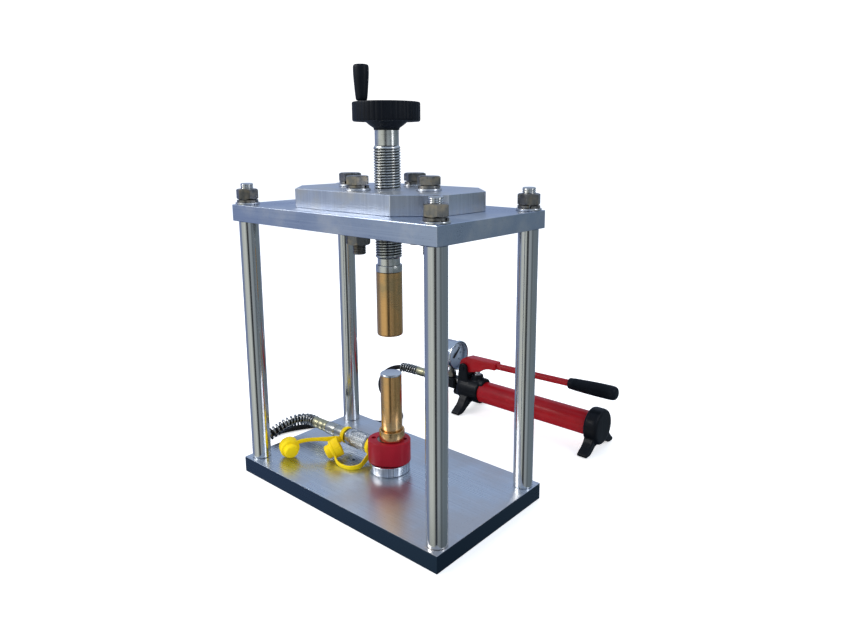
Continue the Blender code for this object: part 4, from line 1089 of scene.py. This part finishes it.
def gauge():
    y, z = PUMP_LINE[0], 0.108
    front, dial = -0.121, -0.133
    case = [
        (0.0, dial), (0.028, dial), (0.028, front - 0.0012), (0.0288, front - 0.0002),
        (0.03, front), (0.0308, front - 0.0008), (0.031, front - 0.0025), (0.031, front - 0.0055),
        (0.0303, front - 0.0065), (0.029, front - 0.007), (0.029, dial - 0.0205),
        (0.0275, dial - 0.023), (0.0, dial - 0.023),
    ]
    fit(lathe("gauge_housing", case, "bezel", (y, z), "X", 96, edge=0.0), "frame", "gauge_silver",
        "gauge_case")
    stem = tube(0.0, 0.006, 0.0855, 0.052)
    fit(lathe("gauge_neck", stem, "zinc", (-0.141, y), segments=48), "frame", "gauge_silver")
    nut = hexagon("gauge_hex", (-0.141, y), 0.059, 0.07, "zinc", flats=0.0175, bore=0.0, turn=0.3)
    fit(nut, "frame", "gauge_silver")
    face = dial + 0.0003
    disc = tube(0.0019, 0.0277, face, face - 0.0004)
    fit(lathe("dial_face", disc, "dial", (y, z), "X", 96, True, 0.0), "frame", "gauge_silver")
    bm = bmesh.new()
    for i in range(61):
        angle = math.radians(225.0 - 270.0 * i / 60)
        long = i % 10 == 0
        size = (0.0002, 0.0007 if long else 0.00035, 0.0042 if long else 0.0024)
        radius = 0.0252 - size[2] / 2
        turn = Matrix.Rotation(angle - math.pi / 2, 4, "X")
        box_into(bm, size,
                 (face + 0.0001, y + radius * math.cos(angle), z + radius * math.sin(angle)), turn)
    fit(new_piece("dial_marks", bm, "dial_black"), "frame", "gauge_silver")
    for i in range(7):
        angle = math.radians(225.0 - 45.0 * i)
        text = bpy.data.curves.new("dial_number_%d" % i, "FONT")
        text.body = str(i * 10)
        text.size = 0.0052
        text.align_x = "CENTER"
        text.align_y = "CENTER"
        text.extrude = 0.00008
        text.materials.append(LOOKS["dial_black"])
        number = add_object("dial_number_%d" % i, text)
        place = (face + 0.0001, y + 0.0172 * math.cos(angle), z + 0.0172 * math.sin(angle))
        number.matrix_world = Matrix.Translation(place) @ Matrix(((0, 0, 1, 0), (1, 0, 0, 0),
                                                                  (0, 1, 0, 0), (0, 0, 0, 1)))
        fit(number, "frame", "gauge_silver")


# ---------------------------------------------------------------- floor, light and camera
def stage():
    bm = bmesh.new()
    bmesh.ops.create_grid(bm, x_segments=1, y_segments=1, size=30.0)
    mesh = bpy.data.meshes.new("floor")
    bm.to_mesh(mesh)
    bm.free()
    s = Shader("floor_white")
    s.set(Base_Color=(0.8, 0.8, 0.8), Roughness=0.9, Emission_Color=(1.0, 1.0, 1.0),
          Emission_Strength=0.55)
    mesh.materials.append(s.material)
    floor = add_object("floor", mesh)
    floor.location.z = -0.0002
    floor.visible_glossy = False


def area(name, place, target, size, power, color):
    light = bpy.data.lights.new(name, "AREA")
    light.shape = "RECTANGLE"
    light.size, light.size_y = size
    light.energy = power
    light.color = color
    obj = add_object(name, light)
    obj.location = place
    obj.rotation_euler = (Vector(target) - Vector(place)).to_track_quat("-Z", "Y").to_euler()
    return obj


def studio_world():
    """White to the camera; reflections see a studio of tall pale and dark panels."""
    world = bpy.data.worlds.new("studio")
    bpy.context.scene.world = world
    world.use_nodes = True
    s = Nodes(world.node_tree)
    way = s.split(s.node("ShaderNodeTexCoord").outputs["Generated"])
    turns = s.calc("MULTIPLY", s.calc("ARCTAN2", way["Y"], way["X"]), 1.0 / TAU)
    around = s.calc("FRACT", s.calc("ADD", turns, 1.5 + 50.0 / 360.0))
    high = s.ramp(way["Z"], (0.12, (0, 0, 0)), (0.45, (1, 1, 1)))
    low = s.ramp(s.calc("MULTIPLY", way["Z"], -1.0), (0.5, (0, 0, 0)), (0.66, (1, 1, 1)))
    surround = s.mix(high, s.ramp(around, *PANELS), (0.74, 0.82, 0.95))
    surround = s.mix(low, surround, (0.05, 0.065, 0.09))
    path = s.node("ShaderNodeLightPath").outputs
    reflected = s.mix(path["Is Glossy Ray"], surround, (0.6, 0.67, 0.77), "MULTIPLY")
    background = s.tree.nodes["Background"].inputs
    s.link(s.mix(path["Is Camera Ray"], reflected, (1.25, 1.25, 1.25)), background["Color"])
    background["Strength"].default_value = 0.95


def lights():
    studio_world()
    area("key", (-1.3, -1.6, 1.9), (0.0, 0.0, 0.25), (1.2, 1.2), 36.0, (1.0, 0.98, 0.94))
    area("fill", (1.9, 0.4, 1.2), (0.0, 0.0, 0.25), (0.5, 1.6), 7.0, (0.92, 0.95, 1.0))
    area("rear", (-0.6, 2.2, 1.6), (0.0, 0.1, 0.2), (1.4, 0.8), 16.0,
         (0.95, 0.97, 1.0)).visible_glossy = False
    view = bpy.context.scene.view_settings
    view.view_transform = "Standard"
    view.look = "None"


def camera():
    data = bpy.data.cameras.new("camera")
    data.sensor_width = 36.0
    data.lens = 27.54
    data.shift_x = -0.01607
    data.shift_y = -0.05986
    data.clip_end = 60.0
    obj = add_object("camera", data)
    obj.location = (0.71924, -0.69885, 0.54795)
    obj.rotation_euler = (math.radians(90.0 - 10.76), math.radians(0.05), math.radians(40.13))
    bpy.context.scene.camera = obj


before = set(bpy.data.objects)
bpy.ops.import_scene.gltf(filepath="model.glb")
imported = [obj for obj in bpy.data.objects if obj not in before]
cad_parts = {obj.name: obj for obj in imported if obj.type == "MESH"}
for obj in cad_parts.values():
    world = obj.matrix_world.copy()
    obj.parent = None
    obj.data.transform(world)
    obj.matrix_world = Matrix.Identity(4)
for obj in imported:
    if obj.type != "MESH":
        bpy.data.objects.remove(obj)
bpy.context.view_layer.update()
LOOKS = {key: make(*values) for key, (make, *values) in FINISHES.items()}
stage()
lights()
camera()
for node, look in (
        ("base_plate", "base"), ("top_plate", "plate"), ("screw_block", "block"),
        ("gauge_needle", "dial_black"), ("ram_spring", "wire")):
    dress(node, look)
columns()
block_bolts()
press_screw()
handwheel()
anvil()
ram()
coupler()
dust_caps()
hose()
pump_head()
pump_body()
lever()
pump_port()
gauge()
